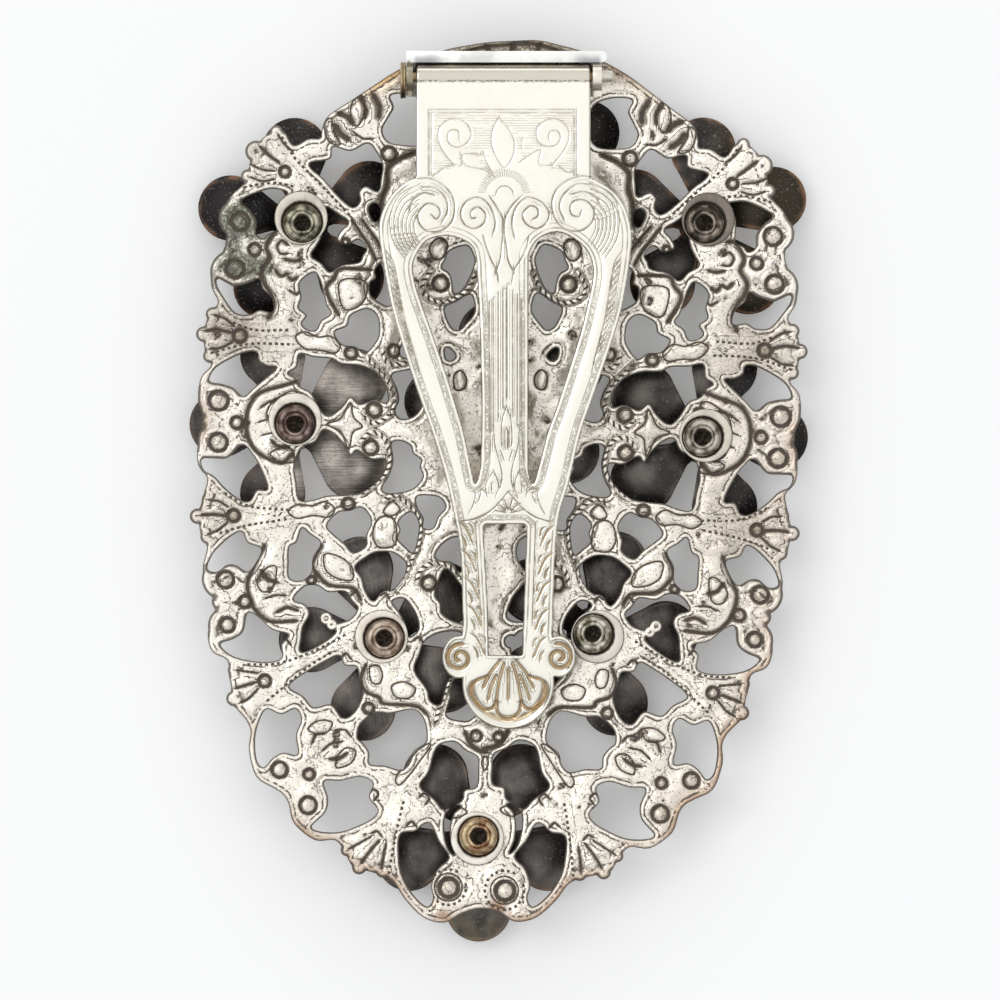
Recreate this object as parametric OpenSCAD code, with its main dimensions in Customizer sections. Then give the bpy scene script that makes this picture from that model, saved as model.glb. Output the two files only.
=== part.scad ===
// Dress clip of pierced, silver-plated cast metal, lying on its front with its back up.
// The plate is gently domed. Nine riveted flowers stand on its front, and a hinged lever on its back
// grips the edge of the cloth. X runs across the clip, Y towards the hinge and Z up from the floor.

/* [Plate] */
// Thickness of the plate
plate_t = 0.9; // [0.7:0.1:1.2]
// Height of the plate's front above the floor at its middle
plate_z = 3.3; // [3.2:0.1:3.8]
// Radius that the plate is domed to
dome_r = 450; // [400:25:700]
// Height of the cast relief on the plate's back
relief_h = 0.25; // [0.1:0.05:0.4]

/* [Flowers] */
// Distance from a flower's rivet to the tips of its petals
petal_reach = 8.9; // [8.2:0.1:9.2]
// Width of a petal
petal_w = 5.5; // [4.8:0.1:6]
// Thickness of the petals' sheet
petal_t = 0.5; // [0.4:0.05:0.6]
// Height of the petals' backs above the floor
petal_z = 3; // [2.8:0.1:3]
// Height of the button under each flower
button_h = 1.4; // [1.2:0.1:1.5]
// Outer radius of the rivets' tubes
rivet_r = 1.15; // [1:0.05:1.25]
// Radius of the hole down each rivet
rivet_bore_r = 0.75; // [0.6:0.05:0.85]
// Radius of the rivets' flared ends
flare_r = 1.6; // [1.5:0.05:1.75]
// Radius of the washers
washer_r = 2.25; // [2.1:0.05:2.4]
// Thickness of the washers
washer_t = 0.35; // [0.25:0.05:0.5]

/* [Lever] */
// Width of the lever's top plate
lever_w = 14.65; // [14.4:0.05:14.65]
// Thickness of the lever's sheet
lever_t = 0.8; // [0.6:0.05:0.9]
// Radius that the lever is bowed to along its length
bow_r = 260; // [250:10:400]
// Depth of the lip that is turned down round the lever's shell
lip_h = 0.5; // [0.3:0.05:0.5]
// Diameter of the hinge pin
pin_d = 0.95; // [0.8:0.05:1]
// Thickness of the bracket's strip
bracket_t = 0.8; // [0.6:0.05:0.8]

/* [Hidden] */

// The lacework is drawn about its own middle line, which lies a little turned on the clip.
lace_turn = -2;
lace_x = -0.32;
// The right half is a mirror of the left one, shifted and leaning as the worn mould left it.
right_shift = [0.4, 0.3];
right_lean = 0.008;
curve_steps = 2;
// Gap between pieces that lie on or in each other
seat_gap = 0.02;
// Height of the blocks that the dome's and the bow's sheets are cut from
block_h = 12;

// Left half of the outer edge, from the top of the arch to the bottom: [across, along]
RIM = [
    [-1.7, 37.75], [-3.6, 37.4], [-5.7, 36.85], [-9, 35.3], [-11.3, 33.75], [-13.2, 32.4],
    [-15, 31.1], [-15.5, 29.9], [-15.6, 29.2], [-16.6, 29.1], [-17.8, 28.5], [-18.6, 29.6],
    [-19.4, 29.8], [-20.7, 28.7], [-21.4, 27.1], [-21.7, 25.4], [-23, 24], [-23.6, 22.4],
    [-23.2, 20.6], [-23.5, 19.3], [-24.3, 17.9], [-24.3, 16.4], [-23.7, 15.1], [-24.4, 14.2],
    [-24.8, 12.5], [-24.6, 10.7], [-24.1, 9.8], [-24.9, 8.8], [-25.1, 7], [-24.6, 5],
    [-25, 3], [-24.9, 1.4], [-24.1, 0.3], [-24.4, -1.2], [-24.7, -2.9], [-24.4, -4.7],
    [-23.9, -5.5], [-24.2, -7.5], [-23.2, -9.7], [-23.1, -10.9], [-23.6, -12.6], [-23.2, -14.2],
    [-21.9, -14.9], [-21.7, -16.2], [-21.5, -17], [-21.3, -18.5], [-20.1, -19.9], [-19.7, -20.9],
    [-19.8, -22.4], [-19.1, -24.6], [-17.6, -25.5], [-16.8, -26], [-16.3, -26.8], [-15.8, -28.4],
    [-14, -29.75], [-12.3, -29.7], [-11.5, -30.6], [-10.7, -31.9], [-9.4, -32.2], [-8, -32.6],
    [-7.2, -33.1], [-6.3, -34.4], [-4.7, -35.9], [-2.9, -36.3], [-1.5, -35.5]
];
RIM_TOP = [0.5, 37.95];
RIM_BOTTOM = [0, -35];

// Round lobes of the fan leaves' ends and of the scrolls that stand out of that edge:
// [across, along, radius]
LOBES = [
    [-19.3, 29.6, 0.55], [-21.4, 27.9, 0.6], [-21.6, 25.8, 0.55], [-22.3, 22.2, 1.6],
    [-22.6, 17.7, 1.85], [-24.1, 14.1, 0.6], [-24.8, 12.4, 0.65], [-24.2, 10.6, 0.6],
    [-23.4, 7, 1.7], [-24, 5, 0.7], [-23.3, 3.5, 1.7], [-23.9, -1.5, 0.6], [-24.8, -2.9, 0.65],
    [-23.9, -4.6, 0.6], [-22.5, -8.1, 1.75], [-22.6, -10, 0.75], [-21.95, -12, 1.65],
    [-21.2, -15.7, 0.6], [-21.2, -18.1, 0.65], [-11.3, -30.5, 0.5], [-10.2, -31.9, 0.6],
    [-8.2, -32.1, 0.6]
];

// Piercings of the left half, a row for each gap between the leaves and scrolls: its corners,
// as [across, along], which a smooth curve joins
GAPS = [
    // Between the top palmette, the first fan leaf's stem and the top curl
    [[-16.3, 27.1], [-14.7, 27.5], [-14.5, 28.5], [-13, 28.2], [-11.6, 28.9], [-10.8, 28.1], [-10.3, 27.1],
     [-10.4, 25.9], [-10.6, 24.9], [-11.6, 25.3], [-12.2, 24.8], [-12.1, 24], [-12.7, 23.5], [-14, 24.5],
     [-15.2, 25.8], [-16.2, 26.6]],
    // Beside the lever's top plate
    [[-9.8, 33], [-9.5, 32], [-10, 31], [-10.4, 30.1], [-10, 29.2], [-9, 28.9], [-7, 29], [-6.2, 30.5],
     [-6.6, 32.4], [-8.2, 33.1]],
    // The small seed below the top curl
    [[-11.3, 23.4], [-10.9, 23.9], [-10.4, 23.6], [-10.4, 22.6], [-10.9, 22.4]],
    // Above and below the first pair of scrolls
    [[-22, 23.7], [-20.8, 24.4], [-19.5, 24.8], [-18.2, 24.5], [-18.9, 23.5], [-19, 22.2], [-19, 21.4],
     [-19.7, 21], [-20.1, 20.6], [-20.7, 21], [-20.7, 22.1], [-21.3, 23]],
    [[-23.8, 17.1], [-22.9, 16.7], [-22.3, 16.5], [-21, 16.9], [-20.3, 17.2], [-20, 16.4], [-19.2, 15.6],
     [-19.1, 14.5], [-20.2, 14.6], [-21, 14.2], [-22.2, 14.3], [-23.2, 15.5], [-23.8, 16.5]],
    // Between the second palmette and the first cartouche leaf
    [[-16.9, 17], [-15.8, 17.9], [-15.3, 17.4], [-14.9, 16.3], [-14.6, 15.2], [-14.2, 14.5], [-15, 13.9],
     [-15.4, 13.1], [-16.1, 13.1], [-16.6, 13.6], [-16.2, 14.3], [-16.9, 14.9], [-16.7, 15.8]],
    // Below the first fan leaf's stem, beside the washer
    [[-15, 23.4], [-13.8, 22.8], [-13, 22.2], [-13.6, 21.5], [-13.9, 20.7], [-13, 20.3], [-12.1, 20.8],
     [-11.4, 20.1], [-11.7, 19.5], [-12, 18.9], [-13.4, 18.6], [-14.4, 18], [-15.1, 18.7], [-16, 19.3],
     [-15.6, 20.1], [-15.2, 20.9], [-15, 22]],
    // Either side of the first cartouche leaf's foot
    [[-10.6, 18.3], [-10, 18.9], [-9.6, 17.4], [-9.1, 15.8], [-9.4, 15.3], [-10.3, 15.7], [-10.9, 16.2],
     [-11, 17.2], [-10.5, 17.6]],
    [[-13.8, 13], [-12.8, 13.5], [-12.5, 14.4], [-11.2, 15], [-10.3, 14.4], [-10.1, 13], [-10.4, 12.2],
     [-11.2, 11.3], [-12, 11.8], [-13, 11.9], [-13.5, 12.3]],
    // Above the second pair of scrolls
    [[-24.2, 8.5], [-23.8, 9.5], [-22.7, 10.3], [-21.2, 11], [-20.3, 11], [-20.1, 10.3], [-19.4, 9.9],
     [-18.6, 9.8], [-19.5, 8.9], [-20.5, 8], [-21.3, 7.3], [-22.2, 8], [-23.2, 8.3]],
    // Above the star leaf
    [[-17.6, 9.4], [-16.9, 9.9], [-16.7, 11], [-15.5, 10.8], [-14, 10.7], [-13.2, 10.3], [-11.6, 10.2],
     [-10.2, 9.6], [-9.4, 8.5], [-9.2, 7.2], [-10.3, 7.4], [-11.5, 7], [-12.3, 7.6], [-13, 6.7],
     [-14.1, 5.9], [-14.9, 6.6], [-15.6, 7.8], [-16.6, 8.3], [-17, 9]],
    // Below the second pair of scrolls
    [[-24.6, 1.9], [-23.6, 2], [-22.4, 2.1], [-21.3, 3.2], [-20.4, 2.5], [-19.6, 1.2], [-19, -0.4],
     [-19.9, -0.5], [-20.4, -1.4], [-21.2, -1.4], [-22.5, -0.5], [-23.5, 0.5], [-24.4, 1]],
    // Below the star leaf
    [[-16.3, 3.1], [-16.8, 1.6], [-16.6, 0.3], [-16.3, -1.2], [-15.2, -1.2], [-14, -0.8], [-12.8, -0.7],
     [-11.3, -0.5], [-10, 0.4], [-9.3, 1.4], [-9.2, 2.4], [-10.4, 2.4], [-11.6, 3.1], [-12.1, 2.6],
     [-12.7, 3.5], [-13.6, 4.4], [-14.5, 4.7], [-15.1, 3.7]],
    // Below the link at the third fan leaf's end
    [[-13.9, -3.3], [-13, -2.2], [-12, -2], [-11, -1.7], [-10.2, -2.8], [-10.6, -4], [-10.6, -4.9],
     [-11.6, -5.5], [-12.3, -4.8], [-13.2, -4.1]],
    // Above the third pair of scrolls
    [[-23.8, -7.3], [-23.5, -6.2], [-22.8, -5.3], [-21.8, -4.4], [-21, -4.1], [-20.5, -5], [-19.4, -5.4],
     [-19.6, -6.3], [-20.4, -7.4], [-21.4, -6.9], [-22.2, -6.9], [-23, -7.5]],
    // Either side of the second cartouche leaf
    [[-17, -5.2], [-16.4, -4.8], [-16, -3.6], [-15.3, -4.1], [-14.4, -4.8], [-15, -6], [-15.1, -7.3],
     [-15.9, -8], [-16.9, -7.8], [-17, -6.5]],
    [[-11.4, -6.7], [-10.4, -5.8], [-9.6, -5.4], [-8.3, -5.4], [-7.2, -6.2], [-7.3, -7.3], [-8.1, -8.4],
     [-9.1, -8.7], [-9.8, -9.5], [-10.5, -8.6], [-10.8, -7.6]],
    // Between the third palmette and the fourth fan leaf's stem
    [[-16.5, -9.6], [-15.6, -8.5], [-14.5, -8.4], [-13.6, -8.9], [-12.2, -8.8], [-11.6, -9.6],
     [-11.1, -10.2], [-11.7, -11.1], [-12.9, -11.6], [-12.9, -12.3], [-14.3, -13.4], [-15.7, -14],
     [-15.7, -12.9], [-15.6, -11.9], [-15.1, -10.8], [-15.5, -10]],
    // Below the third pair of scrolls
    [[-22.5, -13.6], [-21.4, -13.1], [-20.6, -12.4], [-20.3, -10.9], [-19.4, -11.2], [-18.2, -12.2],
     [-16.8, -12.6], [-17.4, -13.4], [-17.3, -14.5], [-18.2, -14.9], [-19.8, -14.9], [-21.5, -14.5]],
    // Between the fourth fan leaf's stem and the round palmette
    [[-16.6, -16.9], [-15.2, -15.7], [-13.6, -14.7], [-12.5, -14.2], [-12, -15], [-11, -15.1],
     [-10.7, -16.2], [-10.4, -17.3], [-11, -18.8], [-12, -19.4], [-13, -18.3], [-14.5, -18.6],
     [-15.4, -17.7]],
    // Left of the round palmette, inside the rim
    [[-18.4, -18.9], [-17.2, -19.3], [-16, -18.8], [-15.5, -19.7], [-15.9, -21], [-15.7, -22.6],
     [-16.9, -22.5], [-17.8, -23], [-18.5, -23.8], [-19.1, -23.2], [-19.3, -21.4], [-19, -19.9]],
    // Beside the fifth fan leaf's stem
    [[-13.4, -24.8], [-12, -24.7], [-10.4, -24.3], [-9.3, -24.8], [-9.6, -26], [-8.8, -27], [-9.3, -27.8],
     [-10.6, -28.5], [-12, -29], [-13.6, -29], [-14.3, -28.6], [-13.2, -27.4], [-13, -26.2]],
    // Down the inner field, beside the lever's arm
    [[-8.9, 9.5], [-7.9, 9.9], [-6.4, 10], [-6, 8.5], [-6.3, 7], [-7, 6.1], [-8, 5.9], [-8.5, 6.5],
     [-8.2, 7.4], [-8.4, 8.4]],
    [[-8.7, 3.8], [-7.9, 4], [-7.1, 3.6], [-6.9, 3], [-6.2, 2.5], [-6.3, 1.9], [-6, 1.1], [-6.5, 0.3],
     [-7.4, -0.2], [-8.9, -0.4], [-9.4, 0], [-8.8, 1.1], [-8.5, 2.4]],
    [[-6.5, -0.8], [-6.1, -0.5], [-4.6, -0.6], [-4, -1.4], [-4.6, -2.2], [-5, -3.2], [-5.8, -3.2],
     [-5.8, -2.4], [-6.3, -1.6]],
    [[-7.9, -2.8], [-7.3, -2.1], [-6.7, -2], [-6.2, -2.9], [-6.3, -4.3], [-6.6, -5.3], [-7.2, -4.9],
     [-7.9, -4.2], [-7.7, -3.5]],
    [[-4.7, -5.5], [-4.2, -4.6], [-3.1, -3.9], [-2, -4.3], [-1.8, -5.6], [-2.6, -6.8], [-3.3, -6],
     [-4.3, -5.9]],
    [[-4.1, -7], [-3.6, -6.7], [-2.7, -7.7], [-2, -8.6], [-1.5, -9.4], [-1.2, -10.8], [-2.4, -11.1],
     [-3.9, -10.4], [-4.1, -9.5], [-4.6, -8.7]],
    // Round the lower washer
    [[-8.2, -9.5], [-7.3, -9.2], [-6.5, -10], [-6, -11], [-6, -11.9], [-6.7, -12.4], [-7, -11.3],
     [-7.6, -10.3]],
    [[-5.3, -12.7], [-4.1, -12], [-2.4, -11.9], [-1.6, -13.2], [-2.4, -15.2], [-3.3, -15.9], [-3.6, -17],
     [-3.9, -18], [-4.7, -17.7], [-5, -16.7], [-6.1, -15.2], [-5.7, -13.8]],
    // Under the lever's shell
    [[-2.7, -15.8], [-1.2, -16.2], [-0.4, -18], [-1.2, -19.1], [-2, -19.3], [-3.3, -18.9], [-3, -17.4]],
    // Between the round palmette and the bottom leaf
    [[-10.7, -21], [-10.5, -19.9], [-9.3, -18.9], [-8, -18.9], [-6.2, -18.5], [-5.4, -19], [-5, -20],
     [-5, -21.2], [-6, -22], [-6.3, -23], [-7, -23.6], [-8.3, -23.3], [-9.6, -23.2], [-9.7, -22.2],
     [-10.3, -21.4]],
    // Over the bottom flower's petals
    [[-4, -21.6], [-2.6, -21.1], [-1.6, -21.8], [-0.6, -22.3], [-0.5, -23.4], [-0.6, -24.8],
     [-1.6, -25.1], [-1.8, -26], [-3.2, -26.8], [-4, -26], [-5.3, -24.9], [-4.6, -23.7]],
    [[-3.15, -28.6], [-3.1, -27.3], [-2.5, -26.5], [-1.8, -26.5], [-2.4, -27.1], [-2.7, -28.2],
     [-2.6, -29.5], [-2.2, -30.6], [-2.8, -30]],
    [[-6.8, -29], [-5.6, -28.7], [-4.9, -28.1], [-4.3, -28.1], [-3.6, -29.5], [-2.7, -30.8],
     [-3.6, -31.8], [-4.1, -33.2], [-3.9, -34.3], [-4.4, -35], [-5.6, -34], [-6.6, -32.3],
     [-6.9, -30.6]],
    // Seen through the lever's windows, and under its arms
    [[-4.4, 20.1], [-3, 20.6], [-2.4, 19.8], [-2.3, 19.2], [-2.6, 18.2], [-3.2, 17], [-3.9, 16.6],
     [-4.1, 17.6], [-4.4, 18.3], [-5, 18.7], [-4.7, 19.4]],
    [[-4.6, 15.4], [-3.8, 15.8], [-2.6, 16.5], [-2.2, 15.8], [-2.2, 14.9], [-2.9, 14], [-3.4, 13.5],
     [-4, 13.7], [-4.5, 14.6]],
    [[-4.5, 11.9], [-4.1, 11.9], [-3.6, 11.3], [-4, 10.9], [-4.4, 11.1]],
    [[-8.2, 11.9], [-8.1, 11.1], [-7, 11.1], [-6.6, 12.2], [-7.4, 12.9]]
];

// The bare bud that hangs into the gap below the third palmette: [across, along, radius]
BUDS = [[-13.7, -11.1, 0.55], [-13.2, -11.6, 0.5]];

// Raised eyes of the scrolls and links: [across, along, radius]
EYES = [
    [-22.1, 22, 0.75], [-22.4, 18, 0.75], [-20.8, 19.7, 0.5], [-23.4, 6.9, 0.8], [-23.3, 3.4, 0.75],
    [-21.8, 5.1, 0.5], [-22.3, -8.1, 0.7], [-22, -11.9, 0.6], [-20.6, -9.9, 0.5], [-17.2, -23.9, 0.65],
    [-14.7, -26.8, 0.7], [-14.7, -24.2, 0.45], [-2.6, -33.3, 0.9], [-18.5, 26.3, 0.45],
    [-21.8, 12.4, 0.55], [-21.8, -2.7, 0.5], [-18.7, -16.5, 0.5], [-9.8, 28.1, 0.6],
    [-13.2, 20.6, 0.3], [-12.4, 11.3, 0.5], [-12.2, -1.4, 0.5], [-15.1, -7.9, 0.35],
    [-5.1, 17.4, 0.65], [-8.8, 11.6, 0.5], [-10.3, 6.6, 0.6], [-10.5, 3.4, 0.6], [-5.2, -7.8, 0.6],
    [-9.9, -18.5, 0.45]
];

// Rivets, with the flowers and washers that they hold: [x, y, direction of one petal, and how far
// the washer lies off the rivet, as x and y]. The last two rivets are under the lever, with no washer.
RIVETS = [
    [-16.4, 22.6, 96, -0.1, 0.45], [-17, 5.7, 36, 0, 0.4], [17.2, 4.6, 0, 0.3, 0.15],
    [17.4, 22.6, 19, 0.3, 0.3], [-9.5, -12.3, 37, -0.25, 0.15], [8, -11.9, 0, 0.4, -0.25],
    [-1.6, -28.9, -90, -0.1, -0.2], [1.5, 28.9, 12, 0, 0], [1.05, 7.3, 33, 0, 0]
];
washer_count = 7;
pad_r = 1.75;
petal_count = 5;
// Each petal is a cap of a ball, whose middle lies this far out along the petal
petal_dome_r = 7;
petal_dome_reach = 5;
// Half a petal's width where its neck starts and ends, how far out that is, and how its shoulders
// round in
neck_r = [1.1, 1.15];
neck_reach = [1.6, 2.4];
shoulder = [1.2, 0.3];
flower_disc_r = 2.2;
button_r = 1.9;
button_foot_r = 1;
button_round_h = 1;
flare_h = 0.6;
flare_edge = 0.15;
bore_floor = 1;

// Small round holes down the plate's middle: [across, along, radius]
DRAINS = [[-0.8, -20.5, 0.45], [1.1, -20.5, 0.4], [-1.9, -12.5, 0.5], [1.9, -12.5, 0.5]];

// The hinge's axis runs across the clip, over the plate's top end.
hinge_y = 34.9;
hinge_z = 7.55;
barrel_r = 0.95;
pin_gap = 0.03;
ear_r = 1.25;
ear_side_z = 7.25;
// The bracket: its strip over the plate, its ears and its upright back with the flange on top
bracket_x = [-7.65, 8.75];
bracket_y = [26.4, 37];
// The strip is as wide as its ears from here up, and a narrower tongue under the lever
bracket_tongue_x = [-5.4, 6.4];
ear_y = 33.2;
wall_y = 36.25;
flange_y = 36.05;
flange_z = 8.35;
flange_h = 0.7;
flange_x = [-7.5, 9.2];
left_ear_t = 0.55;
right_ear_t = 0.75;
pin_x = [-8.15, 9.7];
pin_head_r = 1.55;
pin_head_t = 0.45;

// The lever's outline, with its left arm, its right arm, the two windows and the slot between its
// legs: [x, y], on the clip's own axes
lever_left = -6.85;
lever_top_y = 26;
LEVER_SIDE_L = [
    [-6.7, 26.4], [-8.7, 25.3], [-9.8, 23.4], [-10, 21.9], [-9.5, 18.6], [-8.8, 15.1], [-7.7, 11.4],
    [-6.6, 8.1], [-5.4, 4.7], [-4.4, 1.4], [-3.7, -1.7], [-3.1, -5.2], [-2.9, -10.7], [-2.6, -14.5]
];
LEVER_SIDE_R = [
    [4.4, -14.5], [4.6, -11.8], [4.85, -5.2], [5.2, -1.9], [6, 0.8], [7, 5], [8, 7.9], [9.9, 13.5],
    [10.7, 16.8], [11.3, 21.1], [10.9, 23.8], [9.4, 25.5], [7.6, 26.4]
];
WINDOW_L = [
    [-4.3, 21.5], [-2.8, 21.1], [-2, 20.4], [-1.75, 19.2], [-1.7, 18], [-1.5, 14], [-1.35, 8],
    [-1.4, 3], [-1.55, 1.6], [-1.85, 0.7], [-2.1, 1.5], [-2.8, 4.9], [-3.5, 7.3], [-4.3, 9.9],
    [-5.5, 13.4], [-6.4, 15.9], [-6.9, 17.5], [-7.1, 18.9], [-6.8, 19.9], [-5.9, 21.1]
];
WINDOW_R = [
    [4.7, 21.8], [3.4, 21.2], [2.7, 20.1], [2.6, 18.9], [2.6, 11.4], [2.6, 3], [2.65, 1.4], [3, 0.7],
    [3.5, 2.3], [4.2, 5], [5, 7.2], [6.1, 10.6], [7, 13.5], [7.5, 15.6], [7.9, 17.4], [8, 18.7],
    [7.7, 19.9], [7, 20.8], [5.8, 21.6]
];
SLOT = [
    [-1.2, -2.9], [-1, -2.7], [2.2, -2.7], [2.45, -2.9], [2.2, -10], [2.05, -13.7], [-0.75, -13.7],
    [-0.8, -10]
];
// The scrolls at the lever's foot, as [x, y, radius across, radius along], and its shell
FOOT_SCROLLS = [[-3.2, -13.85, 1.45, 1.8], [5.15, -13.8, 1.4, 1.75]];
SHELL = [0.9, -16.05];
shell_r = 3.85;
shell_lip_t = 0.6;
// How far the lip lies inside the shell's edge
shell_lip_in = 0.05;

// The bracket's upright walls start inside its strip. The lever is highest at its crown.
wall_foot_z = back_z(hinge_y) + bracket_t / 2;
crown_y = 18.4;
crown_z = hinge_z + barrel_r + bow_r - sqrt(bow_r * bow_r - pow(hinge_y - crown_y, 2));

function curve_at(a, b, c, d, t) =
    (2 * b + (c - a) * t + (2 * a - 5 * b + 4 * c - d) * t * t + (3 * b - a - 3 * c + d) * t * t * t) / 2;

// A smooth closed curve through the corners of a row
function smooth(p) = let (n = len(p))
    [for (i = [0:n - 1], k = [0:curve_steps - 1])
        curve_at(p[(i + n - 1) % n], p[i], p[(i + 1) % n], p[(i + 2) % n], k / curve_steps)];

function to_right(p) = [right_shift.x - p.x + right_lean * p.y, right_shift.y + p.y];

// The height of the plate's back at a distance from the clip's middle
function back_z(reach) = plate_z + plate_t + reach * reach / (2 * dome_r);

module on_lace() {
    translate([lace_x, 0])
        rotate(lace_turn)
            children();
}

module both_rounds(rows) {
    for (row = rows) {
        translate([row.x, row.y])
            circle(row[2], $fn = 24);
        translate(to_right(row))
            circle(row[2], $fn = 24);
    }
}

module lace_outline() {
    n = len(RIM);
    polygon(smooth(concat([RIM_TOP], RIM, [RIM_BOTTOM], [for (i = [n - 1:-1:0]) to_right(RIM[i])])));
    both_rounds(LOBES);
}

module lace_gaps() {
    for (gap = GAPS) {
        polygon(smooth(gap));
        polygon(smooth([for (p = gap) to_right(p)]));
    }
}

// The part of a block that lies between two heights over the dome's front
module on_dome(low, high) {
    intersection() {
        children();
        difference() {
            translate([0, 0, dome_r + plate_z + low])
                sphere(r = dome_r, $fn = 200);
            translate([0, 0, dome_r + plate_z + high])
                sphere(r = dome_r, $fn = 200);
        }
    }
}

module at_rivets(r) {
    for (rivet = RIVETS)
        translate([rivet.x, rivet.y])
            circle(r, $fn = 32);
}

module plate() color([0.80, 0.77, 0.71]) {
    difference() {
        union() {
            on_dome(0, plate_t)
                linear_extrude(height = block_h)
                    offset(delta = 0)
                        on_lace()
                            lace_outline();
            on_dome(plate_t / 2, plate_t + relief_h)
                linear_extrude(height = block_h)
                    on_lace()
                        both_rounds(EYES);
        }
        linear_extrude(height = block_h)
            offset(delta = 0)
                difference() {
                    on_lace()
                        difference() {
                            lace_gaps();
                            both_rounds(BUDS);
                        }
                    at_rivets(pad_r);
                }
        linear_extrude(height = block_h)
            at_rivets(rivet_r + seat_gap);
        linear_extrude(height = block_h)
            on_lace()
                for (drain = DRAINS)
                    translate([drain.x, drain.y])
                        circle(drain[2], $fn = 24);
    }
}

// A petal's outline, which points along X
module petal_outline() {
    tip = petal_reach - petal_w / 2;
    translate([tip, 0])
        circle(petal_w / 2, $fn = 64);
    side = [[neck_reach[0], neck_r[0]], [neck_reach[1], neck_r[1]],
            [tip - shoulder.x, petal_w / 2 - shoulder.y], [tip, petal_w / 2]];
    polygon(concat(side, [for (i = [len(side) - 1:-1:0]) [side[i].x, -side[i].y]]));
}

// A pressed flower: five domed petals round a flat disc. The balls' poles lie off the petals.
module flower(i) color([0.30, 0.29, 0.29]) {
    rivet = RIVETS[i - 1];
    translate([rivet.x, rivet.y])
        rotate(rivet.z)
            difference() {
                union() {
                    translate([0, 0, button_h])
                        cylinder(h = petal_t, r = flower_disc_r, $fn = 64);
                    for (k = [0:petal_count - 1])
                        rotate(k * 360 / petal_count)
                            intersection() {
                                linear_extrude(height = petal_z + 1)
                                    petal_outline();
                                translate([petal_dome_reach, 0, petal_z - petal_dome_r])
                                    rotate([0, 90, 0])
                                        difference() {
                                            sphere(r = petal_dome_r, $fn = 64);
                                            sphere(r = petal_dome_r - petal_t, $fn = 64);
                                        }
                            }
                }
                translate([0, 0, -1])
                    cylinder(h = petal_z + 2, r = rivet_r + seat_gap, $fn = 48);
            }
}

// The height of a rivet's washer, or else of its flare: the plate's highest place under it
function seat_z(i) = let (rivet = RIVETS[i - 1])
    let (cover = i <= washer_count ? washer_r + norm([rivet[3], rivet[4]]) : flare_r)
    back_z(norm([rivet.x, rivet.y]) + cover) + seat_gap;

// The height of a rivet's flare, over its washer, or over the bracket on the one that holds it
function flare_z(i) = seat_z(i) + (i <= washer_count ? washer_t + seat_gap
    : i == washer_count + 1 ? bracket_t + seat_gap : 0);

// A hollow rivet with a domed button on the front and a flared end on the back
module rivet(i) color([0.62, 0.47, 0.36]) {
    top = flare_z(i) + flare_h;
    lip = flare_r - rivet_r;
    translate([RIVETS[i - 1].x, RIVETS[i - 1].y])
        rotate_extrude($fn = 48)
            polygon(concat(
                [[0, 0]],
                [for (a = [-90:15:0])
                    [button_foot_r + (button_r - button_foot_r) * cos(a), button_round_h * (1 + sin(a))]],
                [[button_r, button_h], [rivet_r, button_h], [rivet_r, flare_z(i)], [flare_r, flare_z(i)]],
                [for (a = [0:30:90]) [rivet_r + lip * cos(a), top - lip + lip * sin(a)]],
                [[rivet_bore_r + flare_edge, top], [rivet_bore_r, top - flare_edge],
                 [rivet_bore_r, bore_floor], [0, bore_floor]]));
}

module washer(i) color([0.90, 0.87, 0.80]) {
    rivet = RIVETS[i - 1];
    translate([rivet.x, rivet.y, seat_z(i)])
        difference() {
            translate([rivet[3], rivet[4], 0])
                cylinder(h = washer_t, r = washer_r, $fn = 64);
            translate([0, 0, -1])
                cylinder(h = washer_t + 2, r = rivet_r + 2 * seat_gap, $fn = 48);
        }
}

// A round bar along X, at the hinge's axis
module across(x, r) {
    translate([x[0], hinge_y, hinge_z])
        rotate([0, 90, 0])
            cylinder(h = x[1] - x[0], r = r, $fn = 64);
}

// An ear of the bracket: round over the pin, with straight sides down to the strip
module ear(x, t) {
    across([x, x + t], ear_r);
    translate([x, ear_y, wall_foot_z])
        cube([t, bracket_y[1] - ear_y, ear_side_z - wall_foot_z]);
}

// The bracket: one strip that follows the dome, with an ear turned up at each end of the lever's
// barrel, and an upright back that ends in a flange
module bracket() color([0.86, 0.85, 0.82]) {
    foot = plate_t + seat_gap;
    wide = bracket_x[1] - bracket_x[0];
    flange_end = (bracket_y[1] - flange_y) / 2;
    difference() {
        union() {
            on_dome(foot, foot + bracket_t)
                linear_extrude(height = block_h) {
                    translate([bracket_x[0], ear_y])
                        square([wide, bracket_y[1] - ear_y]);
                    translate([bracket_tongue_x[0], bracket_y[0]])
                        square([bracket_tongue_x[1] - bracket_tongue_x[0], bracket_y[1] - bracket_y[0]]);
                }
            ear(bracket_x[0], left_ear_t);
            ear(bracket_x[1] - right_ear_t, right_ear_t);
            translate([bracket_x[0], wall_y, wall_foot_z])
                cube([wide, bracket_y[1] - wall_y, flange_z - wall_foot_z]);
            translate([0, flange_y + flange_end, flange_z - flange_h])
                linear_extrude(height = flange_h) {
                    for (x = [flange_x[0] + flange_end, flange_x[1] - flange_end])
                        translate([x, 0])
                            circle(flange_end, $fn = 32);
                    translate([flange_x[0] + flange_end, -flange_end])
                        square([flange_x[1] - flange_x[0] - 2 * flange_end, 2 * flange_end]);
                }
        }
        across([bracket_x[0] - 1, bracket_x[1] + 1], pin_d / 2 + seat_gap);
        translate([RIVETS[washer_count].x, RIVETS[washer_count].y, 0])
            cylinder(h = block_h, r = rivet_r + seat_gap, $fn = 48);
    }
}

module hinge_pin() color([0.60, 0.50, 0.33]) {
    across(pin_x, pin_d / 2);
    across([pin_x[0], pin_x[0] + pin_head_t], pin_head_r);
}

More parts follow.
